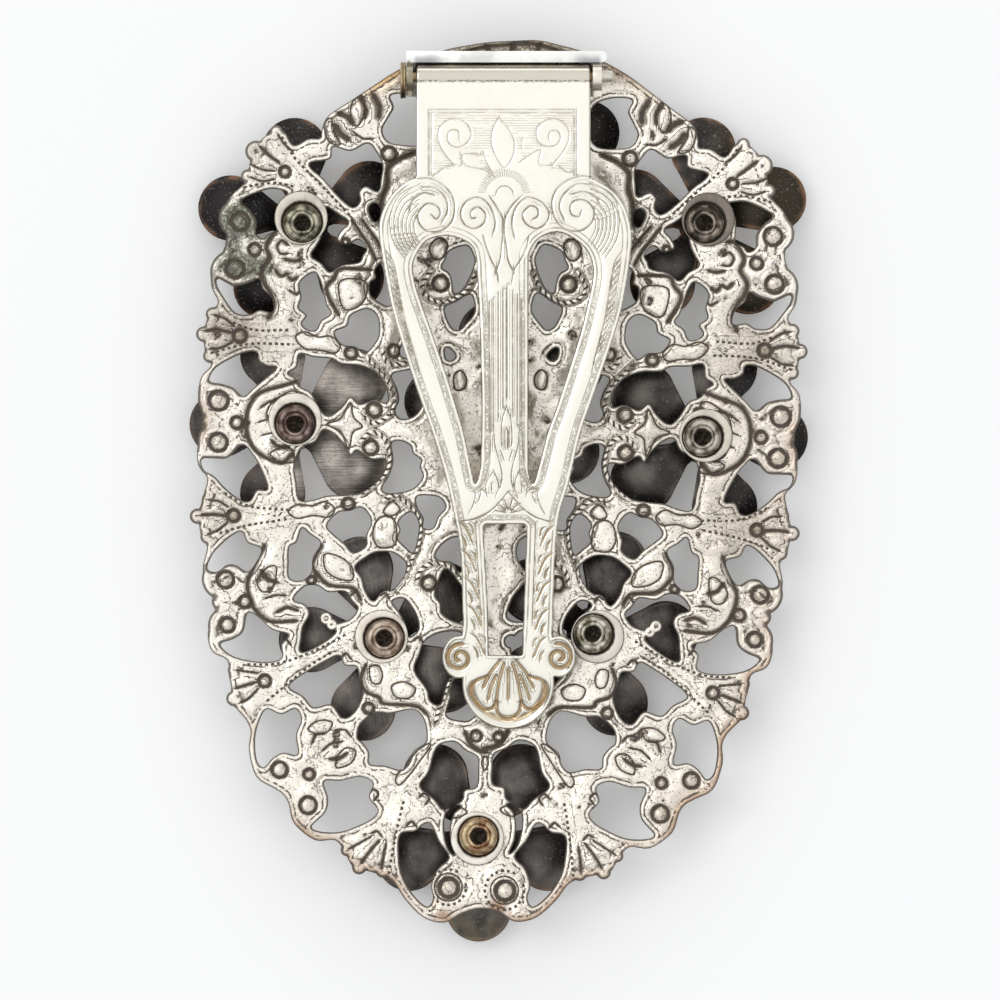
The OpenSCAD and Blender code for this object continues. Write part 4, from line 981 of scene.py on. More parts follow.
to_edge = np.exp(-np.clip(outer_edge - 0.1, 0, None) / 0.6)
worn = limited(patches(WORN) * 1.6) * to_edge * limited(0.85 + 0.4 * lace.uneven(1.2, 7))
tarnish = limited(patches(TARNISHED) * (0.9 + 0.6 * lace.uneven(0.5, 11)))
marks["copper"] = np.maximum(worn, tarnish)
dull = patches(DULLED) + np.clip((lace.y - DULL_TOP) / 0.8, 0, MOST_DULL)
marks["dull"] = np.clip(dull, 0, MOST_DULL)
marks["brass"] = limited(patches(BRASSY)) * to_edge
marks["green"] = limited(patches(GREENED) * (0.85 + 0.3 * lace.uneven(0.7, 8)))


def lace_side(values, low):
    """Places of the plate, on the clip's axes: on its back, or on its front where low is true."""
    across, along = values[:, 0], values[:, 1]
    cosine, sine = math.cos(LACE_TURN), math.sin(LACE_TURN)
    x = across * cosine - along * sine + LACE_X
    y = across * sine + along * cosine
    dome = PLATE_UNDER + (x**2 + y**2) / (2 * DOME_RADIUS)
    return np.stack([x, y, dome if low else dome + PLATE_THICK + values[:, 2]], -1)


plate = lace.cast(
    "pierced_plate",
    lambda values: lace_side(values, False),
    lambda values: lace_side(values, True),
    {"height": lace.height, **marks},
    MOST_TRIANGLES,
)
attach(plate, "root")
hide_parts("plate")

plated = Finish("plated_lace")
x, y, _ = plated.axes()
edge = plated.stored("edge")
wander = plated.noise(0.7, 3.0)
fine = plated.noise(0.22, 3.0)
coarse = plated.noise(2.2, 3.0).rise(0.35, 0.7)
ragged = (fine - 0.5) * 0.9
rope_side = plated.stored("rope_side")
strand = (plated.stored("rope_way") / 0.6 + rope_side * 1.2).part()
rope_cut = (1 - abs(strand - 0.5).rise(0.12, 0.24)) * (1 - abs(rope_side).rise(0.18, 0.28))
dot_side = plated.stored("dots_side")
bead = ((plated.stored("dots_way") + ragged * 0.2) / 0.5).part()
dot_cut = (1 - abs(bead - 0.5).rise(0.18, 0.3)) * (1 - abs(dot_side).rise(0.06, 0.14))
# Fine dark lines: the grooves and outlines, one inside the bright rim, and the folds of the casting;
# the line along the metal's very edge is painted shade
ruled = 1 - (abs(plated.stored("line_side")) + ragged).rise(0.2, 0.6)
ruled = ruled * (1 - plated.stored("line").rise(1.5, 2.2))
inner = 1 - abs(edge - 0.4 - (wander - 0.5) * 0.35).rise(0.035, 0.085)
inner = inner * (wander + fine).rise(0.85, 1.05)
crinkle = 1 - abs(plated.noise(0.8, 2.0) - 0.5).rise(0.006, 0.022)
crinkle = crinkle * edge.rise(0.45, 0.6) * plated.noise(1.6, 1.0).rise(0.5, 0.6)
# Painted shade along the very edge of the metal, where it rolls away
edge_shade_line = 1 - (edge + ragged * 0.06).rise(0.05, 0.13)
# Dirt in the recesses, and painted shade where the metal lies low
soot_and_shade = (plated.stored("dirt_and_shade") + ragged * 0.9).rise(0.62, 0.85)
pits = plated.noise(0.15, 1.0).rise(0.64, 0.71)
grain = fine.rise(0.48, 0.6) * plated.stored("dull") * 0.4
dark = soot_and_shade.most(ruled).most(inner * 0.9).most(rope_cut).most(dot_cut)
dark = dark.most(crinkle * 0.6).most(pits * 0.5).most(edge_shade_line * 0.85).most(grain)
# A soft painted shade spreading round the recesses, with their dirt
haze = (plated.stored("dirt_and_shade") + wander * 0.35).rise(0.3, 0.9)
right = x.rise(0.002, 0.02) * (1 - y.rise(8 * MM, 20 * MM) * 0.75)
BRIGHT = (1, 0.935, 0.825, 1)
DULL_AND_SHADED = (0.44, 0.36, 0.28, 1)
SOOT_AND_SHADE = (0.095, 0.073, 0.055, 1)
COPPER = (0.40, 0.225, 0.115, 1)
BRASS = (0.62, 0.36, 0.12, 1)
VERDIGRIS = (0.03, 0.034, 0.02, 1)
PALE_GREEN = (0.30, 0.31, 0.21, 1)
# The dull tone holds tarnished patches and the painted shade round the recesses
dulled_and_shaded = haze * 0.45 + coarse * 0.06 + right * 0.2 + plated.stored("dull") * 0.6
colour = plated.mix(dulled_and_shaded, BRIGHT, DULL_AND_SHADED)
colour = plated.mix(plated.stored("copper") * 0.85, colour, COPPER)
colour = plated.mix(plated.stored("brass"), colour, BRASS)
green = plated.stored("green")
mottle = (green * 0.85 + (wander - 0.5) * 0.8 + ragged * 0.8).rise(0.25, 0.55)
mottle = mottle * green.rise(0.05, 0.2)
mould = plated.mix((fine * 1.3 + wander * 0.7).rise(0.97, 1.1), VERDIGRIS, PALE_GREEN)
colour = plated.mix(mottle * 0.85, colour, mould)
colour = plated.mix(dark, colour, SOOT_AND_SHADE)
plated.set(
    Base_Color=colour,
    Metallic=1 - dark.most(mottle) * 0.75,
    Roughness=0.3 + dark * 0.3 + fine * 0.12,
    Normal=plated.bump(wander * 0.5 + fine * 0.25 - dark * 0.7, 0.08),
)
plated.give(plate)

# Flowers
# Pressed from sheet brass and blackened. Five cupped petals stand round a flat disc, which the rivet
# holds; seen from behind, each petal is a dark dome with a rim that has worn to copper.
PETAL_ROOT = 1.6
PETAL_TIP = 8.9
PETAL_ROUND = 2.75
PETAL_SIDES = [(1.6, 1.1), (2.4, 1.15), (4.95, 2.45)]
PETALS = 5
PETAL_THICK = 0.5
PETAL_TOP = 3
PETAL_DOME = 7
PETAL_DOME_REACH = 5
DISC_RADIUS = 2.2
DISC_HEIGHT = 1.4
RIVET_RADIUS = 1.15
SEAT_GAP = 0.02


def clear_selection():
    bpy.ops.object.select_all(action="DESELECT")


def take(piece):
    """Selects a piece alone and makes it the active one."""
    clear_selection()
    piece.select_set(True)
    bpy.context.view_layer.objects.active = piece


def twin(piece, name):
    """A copy of a piece with a mesh of its own."""
    new = piece.copy()
    new.data = piece.data.copy()
    new.name = name
    bpy.context.scene.collection.objects.link(new)
    return new


def finish_modifier(piece, kind, **settings):
    """Adds a modifier with its settings and applies it."""
    bpy.context.view_layer.objects.active = piece
    modifier = piece.modifiers.new(kind.lower(), kind)
    for setting, value in settings.items():
        setattr(modifier, setting, value)
    bpy.ops.object.modifier_apply(modifier=modifier.name)


def in_edit(piece, *steps):
    """Runs steps of work on all of a piece's mesh in edit mode."""
    take(piece)
    bpy.ops.object.mode_set(mode="EDIT")
    bpy.ops.mesh.select_all(action="SELECT")
    for step in steps:
        step()
    bpy.ops.object.mode_set(mode="OBJECT")


def places_of(piece):
    """A mesh's places as rows of three."""
    points = np.empty(len(piece.data.vertices) * 3, np.float32)
    piece.data.vertices.foreach_get("co", points)
    return points.reshape(-1, 3).astype(float)


def set_places(piece, points):
    piece.data.vertices.foreach_set("co", np.asarray(points, np.float32).ravel())
    piece.data.update()


def store(piece, name, values):
    """Keeps a value for each of a mesh's places, for its finish to read."""
    mark = piece.data.attributes.new(name, "FLOAT", "POINT")
    mark.data.foreach_set("value", np.asarray(values, np.float32))


# One petal from a grid, in millimetres: its places follow the outline, then the dome and rolled rim
ALONG, ACROSS = 44, 30
clear_selection()
bpy.ops.mesh.primitive_grid_add(x_subdivisions=ALONG, y_subdivisions=ACROSS, size=2)
petal = bpy.context.object
share = places_of(petal)
reach = PETAL_ROOT + (PETAL_TIP - PETAL_ROOT) * np.sin((share[:, 0] + 1) * math.pi / 4)
centre = PETAL_TIP - PETAL_ROUND
half = np.sqrt(np.clip(PETAL_ROUND**2 - (reach - centre) ** 2, 0, None))
side = np.interp(reach, *zip(*PETAL_SIDES))
half = np.where(reach < PETAL_SIDES[-1][0], np.maximum(half, side), half)
aside = half * np.sin(share[:, 1] * math.pi / 2)
rise = np.sqrt(PETAL_DOME**2 - (reach - PETAL_DOME_REACH) ** 2 - aside**2)
to_rim = np.minimum(half - np.abs(aside), PETAL_TIP - reach)
rolled = 0.07 * bell(to_rim - 0.1, 0.16)
set_places(petal, np.stack([reach, aside, PETAL_TOP - PETAL_DOME + rise + rolled], -1))
store(petal, "rim", bell(to_rim, 0.3))
in_edit(petal, lambda: bpy.ops.mesh.remove_doubles(threshold=1e-3))
finish_modifier(petal, "SOLIDIFY", thickness=PETAL_THICK, offset=-1)
finish_modifier(
    petal, "BEVEL", width=0.14, segments=3, limit_method="ANGLE", angle_limit=math.radians(55)
)
clear_selection()
bpy.ops.mesh.primitive_cylinder_add(
    vertices=64,
    radius=DISC_RADIUS,
    depth=PETAL_THICK,
    location=(0, 0, DISC_HEIGHT + PETAL_THICK / 2),
)
flower = bpy.context.object
bpy.ops.object.transform_apply()
finish_modifier(flower, "BEVEL", width=0.1, segments=2, limit_method="ANGLE")
for number in range(PETALS):
    leaf = twin(petal, "petal")
    take(leaf)
    leaf.rotation_euler = (0, 0, 2 * math.pi * number / PETALS)
    bpy.ops.object.transform_apply()
    finish_modifier(flower, "BOOLEAN", operation="UNION", object=leaf, solver="MANIFOLD")
    bpy.data.objects.remove(leaf)
bpy.data.objects.remove(petal)
clear_selection()
bpy.ops.mesh.primitive_cylinder_add(vertices=48, radius=RIVET_RADIUS + SEAT_GAP, depth=8)
bore = bpy.context.object
finish_modifier(flower, "BOOLEAN", operation="DIFFERENCE", object=bore, solver="MANIFOLD")
bpy.data.objects.remove(bore)
take(flower)
flower.scale = (MM, MM, MM)
bpy.ops.object.transform_apply()
bpy.ops.object.shade_smooth_by_angle(angle=math.radians(40))

# How pale each flower's metal is, the way and depth of its brushing, and how far its rims have worn
# to copper and its outer petals have browned. Petals beyond the clip's sides are the blackest, and
# the one at its foot is a little olive.
FLOWER_TONES = [
    (0.06, 20, 0.5, 0.9, 0), (0.46, 0, 1, 0.25, 0), (0.12, 30, 0.1, 0.1, 0),
    (0.09, 50, 0.6, 1, 1), (0.18, 80, 0.6, 0.2, 0), (0.12, 70, 0.5, 0.15, 0),
    (0.16, 80, 0.2, 0.5, 0), (0.03, 0, 0.3, 0, 0), (0.12, 40, 0.5, 0.1, 0),
]
OUTSIDE = (17.5 * MM, 19.5 * MM)
FOOT = (35.2 * MM, 36.4 * MM)
SHADED_METAL = (0.36, 0.32, 0.285)
LIT_METAL = (1.55, 1.38, 1.23)
DARK_SIDE = (0.024, 0.022, 0.021)
BROWNED_BY = (0.03, 0.02, 0.006)
OLIVE = (0.17, 0.15, 0.11, 1)
WORN_RIM = (0.30, 0.16, 0.09, 1)
SPECKS = (0.36, 0.34, 0.32, 1)
BRUSHED_LONG, BRUSHED_WIDE = 2.6, 0.11
for number, (x, y, turn, *_) in enumerate(RIVETS, 1):
    tone, brushing, drawn_in, copper, browned = FLOWER_TONES[number - 1]
    bloom = twin(flower, f"pressed_flower_{number}")
    take(bloom)
    bloom.location = (x * MM, y * MM, 0)
    bloom.rotation_euler = (0, 0, math.radians(turn))
    bpy.ops.object.transform_apply()
    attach(bloom, "root")
    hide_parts(f"flower_{number}")

    black = Finish(f"blackened_{number}")
    angle = math.radians(brushing)
    turned = black.node("ShaderNodeMapping", {}, black.place(), Rotation=(0, 0, angle))
    scale = (1 / (BRUSHED_LONG * MM), 1 / (BRUSHED_WIDE * MM), 1 / (BRUSHED_LONG * MM))
    drawn = black.node("ShaderNodeMapping", {}, turned, Scale=scale)
    streaks = black.node("ShaderNodeTexNoise", {}, drawn, Scale=1.0, Detail=3.0)
    cloud = black.noise(2.4, 3.0)
    specks = black.noise(0.2, 1.0).rise(0.63, 0.69)
    rim = black.stored("rim")
    metal = (*(tone * part for part in SHADED_METAL), 1)
    shine = (*(tone * part for part in LIT_METAL), 1)
    outer = abs(black.axes()[0]).rise(*OUTSIDE)
    share = cloud.rise(0.35, 0.7) * 0.6 + streaks.rise(0.4, 0.7) * 0.4 * drawn_in
    tint = black.mix(share, metal, shine)
    dark_side = [dark + brown * browned for dark, brown in zip(DARK_SIDE, BROWNED_BY)]
    tint = black.mix(outer * 0.85, tint, (*dark_side, 1))
    foot = (0 - black.axes()[1]).rise(*FOOT)
    tint = black.mix(foot * cloud.rise(0.3, 0.6), tint, OLIVE)
    tint = black.mix(rim * cloud.rise(0.42, 0.6) * copper, tint, WORN_RIM)
    tint = black.mix(specks * 0.38, tint, SPECKS)
    black.set(
        Base_Color=tint,
        Metallic=0.85,
        Roughness=0.34 + streaks * 0.15 * drawn_in + cloud * 0.1,
        Normal=black.bump(streaks * 0.5 * drawn_in + specks, 0.02),
    )
    black.give(bloom)
bpy.data.objects.remove(flower)

# Rivets
# Tubes of brass, each with a plain domed button at the front and its other end rolled over on the
# back, round a deep hole painted dark inside with grime and shade. The one under the lever's top
# holds the bracket.
BUTTON_FOOT = 1
BUTTON_RADIUS = 1.9
BUTTON_HEIGHT = 1.4
BUTTON_ROUND = 1
FLARE_RADIUS = 1.6
FLARE_HEIGHT = 0.6
BORE_RADIUS = 0.68
BORE_DEPTH = 2.3
WASHER_COUNT = 7
WASHER_RADIUS = 2.25
WASHER_THICK = 0.35
BRACKET_THICK = 0.8


def back_height(reach):
    """Height of the plate's back at a distance from its middle."""
    return PLATE_UNDER + PLATE_THICK + reach**2 / (2 * DOME_RADIUS)


def seat_height(number):
    """Height of a rivet's washer, or else of its flare: the plate's highest place under it."""
    x, y, _, off_x, off_y = RIVETS[number - 1]
    cover = WASHER_RADIUS + math.hypot(off_x, off_y) if number <= WASHER_COUNT else FLARE_RADIUS
    return back_height(math.hypot(x, y) + cover) + SEAT_GAP


def flare_place(number):
    """Height of the foot of a rivet's flare, over its washer or the bracket."""
    if number <= WASHER_COUNT:
        return seat_height(number) + WASHER_THICK + SEAT_GAP
    return seat_height(number) + (BRACKET_THICK + SEAT_GAP if number == WASHER_COUNT + 1 else 0)


def turned_piece(name, profile, x, y, around=48, ring=False):
    """A piece turned round an upright axis, from rows of radius and height; a ring has no ends."""
    clear_selection()
    radius, height = profile[0]
    bpy.ops.mesh.primitive_circle_add(
        vertices=around, radius=radius * MM, location=(x * MM, y * MM, height * MM)
    )
    piece = bpy.context.object
    piece.name = name
    bpy.ops.object.transform_apply()
    bpy.ops.object.mode_set(mode="EDIT")
    bpy.ops.mesh.select_all(action="SELECT")
    for wider, higher in profile[1:]:
        bpy.ops.mesh.extrude_region_move(
            TRANSFORM_OT_translate={"value": (0, 0, (higher - height) * MM)}
        )
        bpy.ops.transform.resize(
            value=(wider / radius, wider / radius, 1), center_override=(x * MM, y * MM, 0)
        )
        radius, height = wider, higher
    bpy.ops.mesh.select_all(action="SELECT")
    if ring:
        bpy.ops.mesh.remove_doubles(threshold=1e-6)
    else:
        bpy.ops.mesh.fill_holes(sides=0)
    bpy.ops.mesh.normals_make_consistent(inside=False)
    bpy.ops.object.mode_set(mode="OBJECT")
    bpy.ops.object.shade_smooth_by_angle(angle=math.radians(50))
    return piece


# Inside the flare, round its rings and down the bore: radius, and depth under its top
THROAT = [
    (1.06, 0.03), (1.0, 0.12), (0.95, 0.05), (0.87, 0.03), (0.74, 0.12), (BORE_RADIUS, 0.25),
    (BORE_RADIUS, 0.9), (BORE_RADIUS, BORE_DEPTH), (0.3, BORE_DEPTH)
]
FLARE_UNEVEN = np.random.default_rng(12)
GRIME_AND_SHADE_DARK = (0.07, 0.055, 0.04, 1)
GRIME_AND_SHADE_PALE = (0.25, 0.2, 0.14, 1)
# A clean place and a stained one on each rivet
TUBE_TINTS = [
    ((0.50, 0.47, 0.36), (0.10, 0.095, 0.06)), ((0.36, 0.27, 0.24), (0.12, 0.08, 0.07)),
    ((0.55, 0.50, 0.43), (0.16, 0.13, 0.10)), ((0.36, 0.30, 0.25), (0.06, 0.05, 0.04)),
    ((0.60, 0.50, 0.40), (0.26, 0.18, 0.13)), ((0.72, 0.67, 0.58), (0.16, 0.15, 0.09)),
    ((0.62, 0.48, 0.30), (0.26, 0.14, 0.08)), ((0.50, 0.42, 0.34), (0.2, 0.14, 0.1)),
    ((0.50, 0.42, 0.34), (0.2, 0.14, 0.1)),
]
for number, (x, y, *_) in enumerate(RIVETS, 1):
    clean, stained = TUBE_TINTS[number - 1]
    tube_brass = Finish(f"tube_brass_{number}")
    scratch = tube_brass.noise(0.3, 3.0)
    stain = tube_brass.noise(0.9, 3.0).rise(0.38, 0.62)
    deep = tube_brass.stored("deep")
    tint = tube_brass.mix(stain, (*clean, 1), (*stained, 1))
    # Down the bore the brass turns to grime and painted shade, darker with depth
    grime_and_shade = tube_brass.mix(scratch.rise(0.45, 0.6), GRIME_AND_SHADE_DARK, GRIME_AND_SHADE_PALE)
    tint = tube_brass.mix(deep, tint, grime_and_shade)
    tube_brass.set(
        Base_Color=tint,
        Metallic=1 - deep * 0.9,
        Roughness=0.3 + scratch * 0.2 + deep * 0.4,
        Normal=tube_brass.bump(scratch, 0.05),
    )
    low = flare_place(number)
    top = low + FLARE_HEIGHT
    lip = FLARE_RADIUS - RIVET_RADIUS
    angles = [math.radians(a) for a in range(-75, 1, 15)]
    profile = [(0.5, 0), (BUTTON_FOOT, 0)]
    profile += [
        (
            BUTTON_FOOT + (BUTTON_RADIUS - BUTTON_FOOT) * math.cos(a),
            BUTTON_ROUND * (1 + math.sin(a)),
        )
        for a in angles
    ]
    profile += [(BUTTON_RADIUS, BUTTON_HEIGHT), (RIVET_RADIUS, BUTTON_HEIGHT)]
    profile += [(RIVET_RADIUS, low), (FLARE_RADIUS - 0.06, low), (FLARE_RADIUS, low + 0.06)]
    for a in range(0, 91, 15):
        a = math.radians(a)
        profile.append((RIVET_RADIUS + lip * math.cos(a), top - lip + lip * math.sin(a)))
    profile += [(radius, top - depth) for radius, depth in THROAT]
    rivet = turned_piece(f"tube_rivet_{number}", profile, x, y)
    points = places_of(rivet) / MM
    far = np.hypot(points[:, 0] - x, points[:, 1] - y)
    around = np.arctan2(points[:, 1] - y, points[:, 0] - x)
    wave = sum(
        FLARE_UNEVEN.normal(0, 0.08) * np.cos(k * around + FLARE_UNEVEN.uniform(0, 6))
        for k in (1, 2, 3, 5)
    )
    rolled = (points[:, 2] > low + 0.2) & (far > 0.8)
    points[:, 2] += np.where(rolled, np.minimum(wave - 0.05, 0), 0)
    set_places(rivet, points * MM)
    store(rivet, "deep", limited((top - 0.15 - points[:, 2]) / 0.5) * (far < 0.85))
    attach(rivet, "root")
    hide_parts(f"rivet_{number}")
    tube_brass.give(rivet)

# Washers
# Discs of pale plated sheet under the rivets that show. Each was pulled down round its tube when the
# rivet was closed, so it has a shallow dish there, and it lies a little off the tube's middle.
WASHER_RINGS = [1.19, 1.3, 1.45, 1.58, 1.68, 1.78, 1.9]
WASHER_DISH = [0.22, 0.22, 0.22, 0.2, 0.12, 0.03, 0]
WASHER_EDGE = 0.1
WASHER_TINTS = [
    (0.74, 0.68, 0.58), (0.84, 0.78, 0.68), (0.76, 0.70, 0.60), (0.26, 0.22, 0.19),
    (0.86, 0.79, 0.68), (0.74, 0.68, 0.60), (0.92, 0.86, 0.76),
]
# Stain and painted shade in the crease round the dish and along the washer's rim
DISH_STAIN_AND_SHADE = (0.06, 0.045, 0.03, 1)
for number, (x, y, _, off_x, off_y) in enumerate(RIVETS[:WASHER_COUNT], 1):
    clean = WASHER_TINTS[number - 1]
    washer_satin = Finish(f"washer_satin_{number}")
    grain = washer_satin.noise(0.25, 3.0)
    smudge = washer_satin.noise(1.3, 3.0).rise(0.4, 0.7)
    dish = (washer_satin.stored("dish") + (grain - 0.5) * 0.6).rise(0.3, 0.7)
    tint = washer_satin.mix(smudge * 0.5, (*clean, 1), (*(0.6 * part for part in clean), 1))
    tint = washer_satin.mix(dish, tint, DISH_STAIN_AND_SHADE)
    washer_satin.set(
        Base_Color=tint,
        Metallic=1 - dish * 0.5,
        Roughness=0.4 + grain * 0.2 + dish * 0.2,
        Normal=washer_satin.bump(grain, 0.03),
    )
    low = seat_height(number)
    high = low + WASHER_THICK
    outer = [2.0, WASHER_RADIUS - WASHER_EDGE, WASHER_RADIUS - 0.02, WASHER_RADIUS]
    heights = [high, high, high - 0.04, high - WASHER_EDGE]
    profile = [(WASHER_RINGS[0], low), (WASHER_RADIUS - 0.05, low), (WASHER_RADIUS, low + 0.05)]
    profile += list(zip(outer, heights))[::-1]
    profile += [(r, high - d) for r, d in zip(WASHER_RINGS, WASHER_DISH)][::-1]
    washer = turned_piece(f"dished_washer_{number}", profile + [profile[0]], x, y, 64, ring=True)
    points = places_of(washer) / MM
    far = np.hypot(points[:, 0] - x, points[:, 1] - y)
    moved = limited((far - FLARE_RADIUS) / (WASHER_RADIUS - FLARE_RADIUS))
    points[:, 0] += off_x * moved
    points[:, 1] += off_y * moved
    set_places(washer, points * MM)
    # The dish mark: the crease round the dish and the washer's rim, painted darker
    ring = bell(far - 1.66, 0.13) + 0.7 * bell(far - WASHER_RADIUS, 0.05)
    store(washer, "dish", ring * (points[:, 2] > low + 0.05))
    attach(washer, "root")
    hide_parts(f"washer_{number}")
    washer_satin.give(washer)

# Bracket
# One strip of plated sheet under the rivet at the top. An ear is bent up at each end of the lever's
# barrel, and the strip's top is bent up and over into a flange with rounded ends.
ROUNDED = 0.09
clear_selection()
bracket = twin(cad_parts["bracket"], "hinge_bracket")
for key in [key for key in bracket.keys() if key.startswith("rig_")]:
    del bracket[key]
bracket.parent = None
in_edit(bracket, lambda: bpy.ops.mesh.remove_doubles(threshold=1e-7))
in_edit(bracket, lambda: bpy.ops.mesh.dissolve_limited(angle_limit=math.radians(2)))
limit = {"limit_method": "ANGLE", "angle_limit": math.radians(40)}
finish_modifier(bracket, "BEVEL", width=ROUNDED * MM, segments=3, **limit)
take(bracket)
bpy.ops.object.shade_smooth_by_angle(angle=math.radians(35))
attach(bracket, "root")
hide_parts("bracket")
FLANGE_MIDDLE = 0.85
BRIGHT_PLATING = (0.96, 0.94, 0.89, 1)
HAZED_PLATING = (0.66, 0.65, 0.62, 1)
SHADED_PLATING = (0.30, 0.31, 0.33, 1)
CREAM_PLATING = (0.80, 0.72, 0.58, 1)
BARE_BRASS = (0.28, 0.23, 0.14, 1)
plate_silver = Finish("polished_plating")
x, y, _ = plate_silver.axes()
wear = plate_silver.noise(0.8, 4.0)
haze = plate_silver.noise(2.6, 2.0).rise(0.42, 0.6)
lines = plate_silver.noise(0.12, 2.0, (0.06, 1, 1))
tint = plate_silver.mix(haze * 0.7, BRIGHT_PLATING, HAZED_PLATING)
flange = y.rise(35.95 * MM, 36.05 * MM)
from_middle = abs(x - FLANGE_MIDDLE * MM)
# Painted shade where the flange's rounded ends roll away
shaded_ends = from_middle.rise(4.8 * MM, 6.6 * MM) * (1 - from_middle.rise(7.6 * MM, 8 * MM))
shaded_ends = shaded_ends * (1 - y.rise(36.1 * MM, 36.9 * MM)) * flange
brass_ear = (1 - x.rise(-7.1 * MM, -6.95 * MM)) * (1 - flange)
tint = plate_silver.mix(shaded_ends * 0.75, tint, SHADED_PLATING)
tint = plate_silver.mix(brass_ear * 0.85, tint, BARE_BRASS)
cream_ear = x.rise(7.4 * MM, 7.6 * MM) * (1 - flange)
tint = plate_silver.mix(cream_ear * 0.6, tint, CREAM_PLATING)
plate_silver.set(
    Base_Color=tint,
    Metallic=1.0,
    Roughness=0.2 + wear * 0.18,
    Normal=plate_silver.bump(lines * 0.6 + wear * 0.4, 0.015),
)
plate_silver.give(bracket)

# Hinge pin
# A drawn brass pin. Its head is two discs, one on the other, and its far end is lightly peened.
PIN_FROM = -8.15
PIN_TO = 9.7
PIN_RADIUS = 0.475
HEAD_RADIUS = 1.55
HEAD_THICK = 0.45
HEAD_DROP = 0.35
HEAD_EDGE = 0.1
HINGE_ALONG = 34.9
HINGE_HEIGHT = 7.55
pin_profile = [
    (0.6, PIN_FROM),
    (HEAD_RADIUS - 0.12, PIN_FROM),
    (HEAD_RADIUS, PIN_FROM + 0.06),
    (HEAD_RADIUS, PIN_FROM + 0.17),
    (HEAD_RADIUS - HEAD_EDGE, PIN_FROM + 0.21),
    (HEAD_RADIUS - HEAD_EDGE, PIN_FROM + 0.24),
    (HEAD_RADIUS - 0.03, PIN_FROM + 0.28),
    (HEAD_RADIUS - 0.03, PIN_FROM + HEAD_THICK - 0.05),
    (HEAD_RADIUS - HEAD_EDGE, PIN_FROM + HEAD_THICK),
    (PIN_RADIUS, PIN_FROM + HEAD_THICK),
    (PIN_RADIUS, PIN_TO - 0.12),
    (PIN_RADIUS - 0.04, PIN_TO - 0.05),
    (PIN_RADIUS - 0.14, PIN_TO),
    (0.1, PIN_TO),
]
pin = turned_piece("hinge_rod", pin_profile, 0, 0)
points = places_of(pin)[:, [2, 0, 1]] / MM
in_head = points[:, 0] < PIN_FROM + HEAD_THICK + 0.01
in_head &= np.hypot(points[:, 1], points[:, 2]) > 0.5
points[:, 1] -= HEAD_DROP * in_head
set_places(pin, (points + [0, HINGE_ALONG, HINGE_HEIGHT]) * MM)
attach(pin, "root")
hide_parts("hinge_pin")
DRAWN_BRASS = (0.50, 0.40, 0.24, 1)
OLD_BRASS = (0.26, 0.17, 0.09, 1)
HEAD_SHADOW = (0.09, 0.075, 0.05, 1)
PEENED = (0.82, 0.78, 0.68, 1)
pin_brass = Finish("pin_brass")
x, y, _ = pin_brass.axes()
tone = pin_brass.noise(0.9, 3.0).rise(0.35, 0.7)
fine = pin_brass.noise(0.2, 3.0)
tint = pin_brass.mix(tone, DRAWN_BRASS, OLD_BRASS)
tint = pin_brass.mix(1 - y.rise(33.2 * MM, 34 * MM), tint, HEAD_SHADOW)
tint = pin_brass.mix(x.rise(8.6 * MM, 8.8 * MM) * 0.9, tint, PEENED)
pin_brass.set(
    Base_Color=tint,
    Metallic=1.0,
    Roughness=0.3 + fine * 0.2,
    Normal=pin_brass.bump(fine, 0.02),
)
pin_brass.give(pin)

# Lever
# A long clip of sheet brass, stamped, pierced, engraved and silver-plated, and rolled into a barrel
# round the pin. It bows a little, and a lip is turned down round the shell at its foot. The tables
# hold millimetres across and along the clip.
LEVER_LEFT = -6.85
LEVER_WIDE = 14.65
LEVER_THICK = 0.8
LEVER_BOW = 260
STRIP_FOOT = 22.5
BARREL_RADIUS = 0.95
ROLL_ANGLE = math.radians(285)
ROLL_THICK = 0.44
THINNING = 3
CROWN_ALONG = 18.4
CROWN = (
    HINGE_HEIGHT
    + BARREL_RADIUS
    + LEVER_BOW
    - math.sqrt(LEVER_BOW**2 - (HINGE_ALONG - CROWN_ALONG) ** 2)
)
# The left side of the shoulders, arms and leg from the top down, and the right side back up
LEVER_SIDE_L = [
    [-5.2, 26.6], [-6.7, 26.4], [-7.9, 25.9], [-9, 24.8], [-9.75, 23.3], [-9.95, 21.7],
    [-9.5, 18.6], [-8.8, 15.1], [-7.7, 11.4], [-6.6, 8.1], [-5.4, 4.7], [-4.4, 1.4],
    [-3.7, -1.7], [-3.1, -5.2], [-2.9, -10.7], [-2.6, -14.5]
]
LEVER_SIDE_R = [
    [4.4, -14.5], [4.6, -11.8], [4.85, -5.2], [5.2, -1.9], [6, 0.8], [7, 5], [8, 7.9], [9.9, 13.5],
    [10.7, 16.8], [11.25, 20.9], [11, 23.1], [10.3, 24.6], [9.1, 25.7], [7.6, 26.4], [6, 26.6]
]
# The windows either side of the middle bar, and the slot between the legs
WINDOW_L = [
    [-4.3, 21.5], [-2.8, 21.1], [-2, 20.4], [-1.75, 19.2], [-1.7, 18], [-1.5, 14], [-1.35, 8],
    [-1.4, 3], [-1.55, 1.6], [-1.85, 0.7], [-2.1, 1.5], [-2.8, 4.9], [-3.5, 7.3], [-4.3, 9.9],
    [-5.5, 13.4], [-6.4, 15.9], [-6.9, 17.5], [-7.1, 18.9], [-6.8, 19.9], [-5.9, 21.1]
]
WINDOW_R = [
    [4.7, 21.8], [3.4, 21.2], [2.7, 20.1], [2.6, 18.9], [2.6, 11.4], [2.6, 3], [2.65, 1.4], [3, 0.7],
    [3.5, 2.3], [4.2, 5], [5, 7.2], [6.1, 10.6], [7, 13.5], [7.5, 15.6], [7.9, 17.4], [8, 18.7],
    [7.7, 19.9], [7, 20.8], [5.8, 21.6]
]
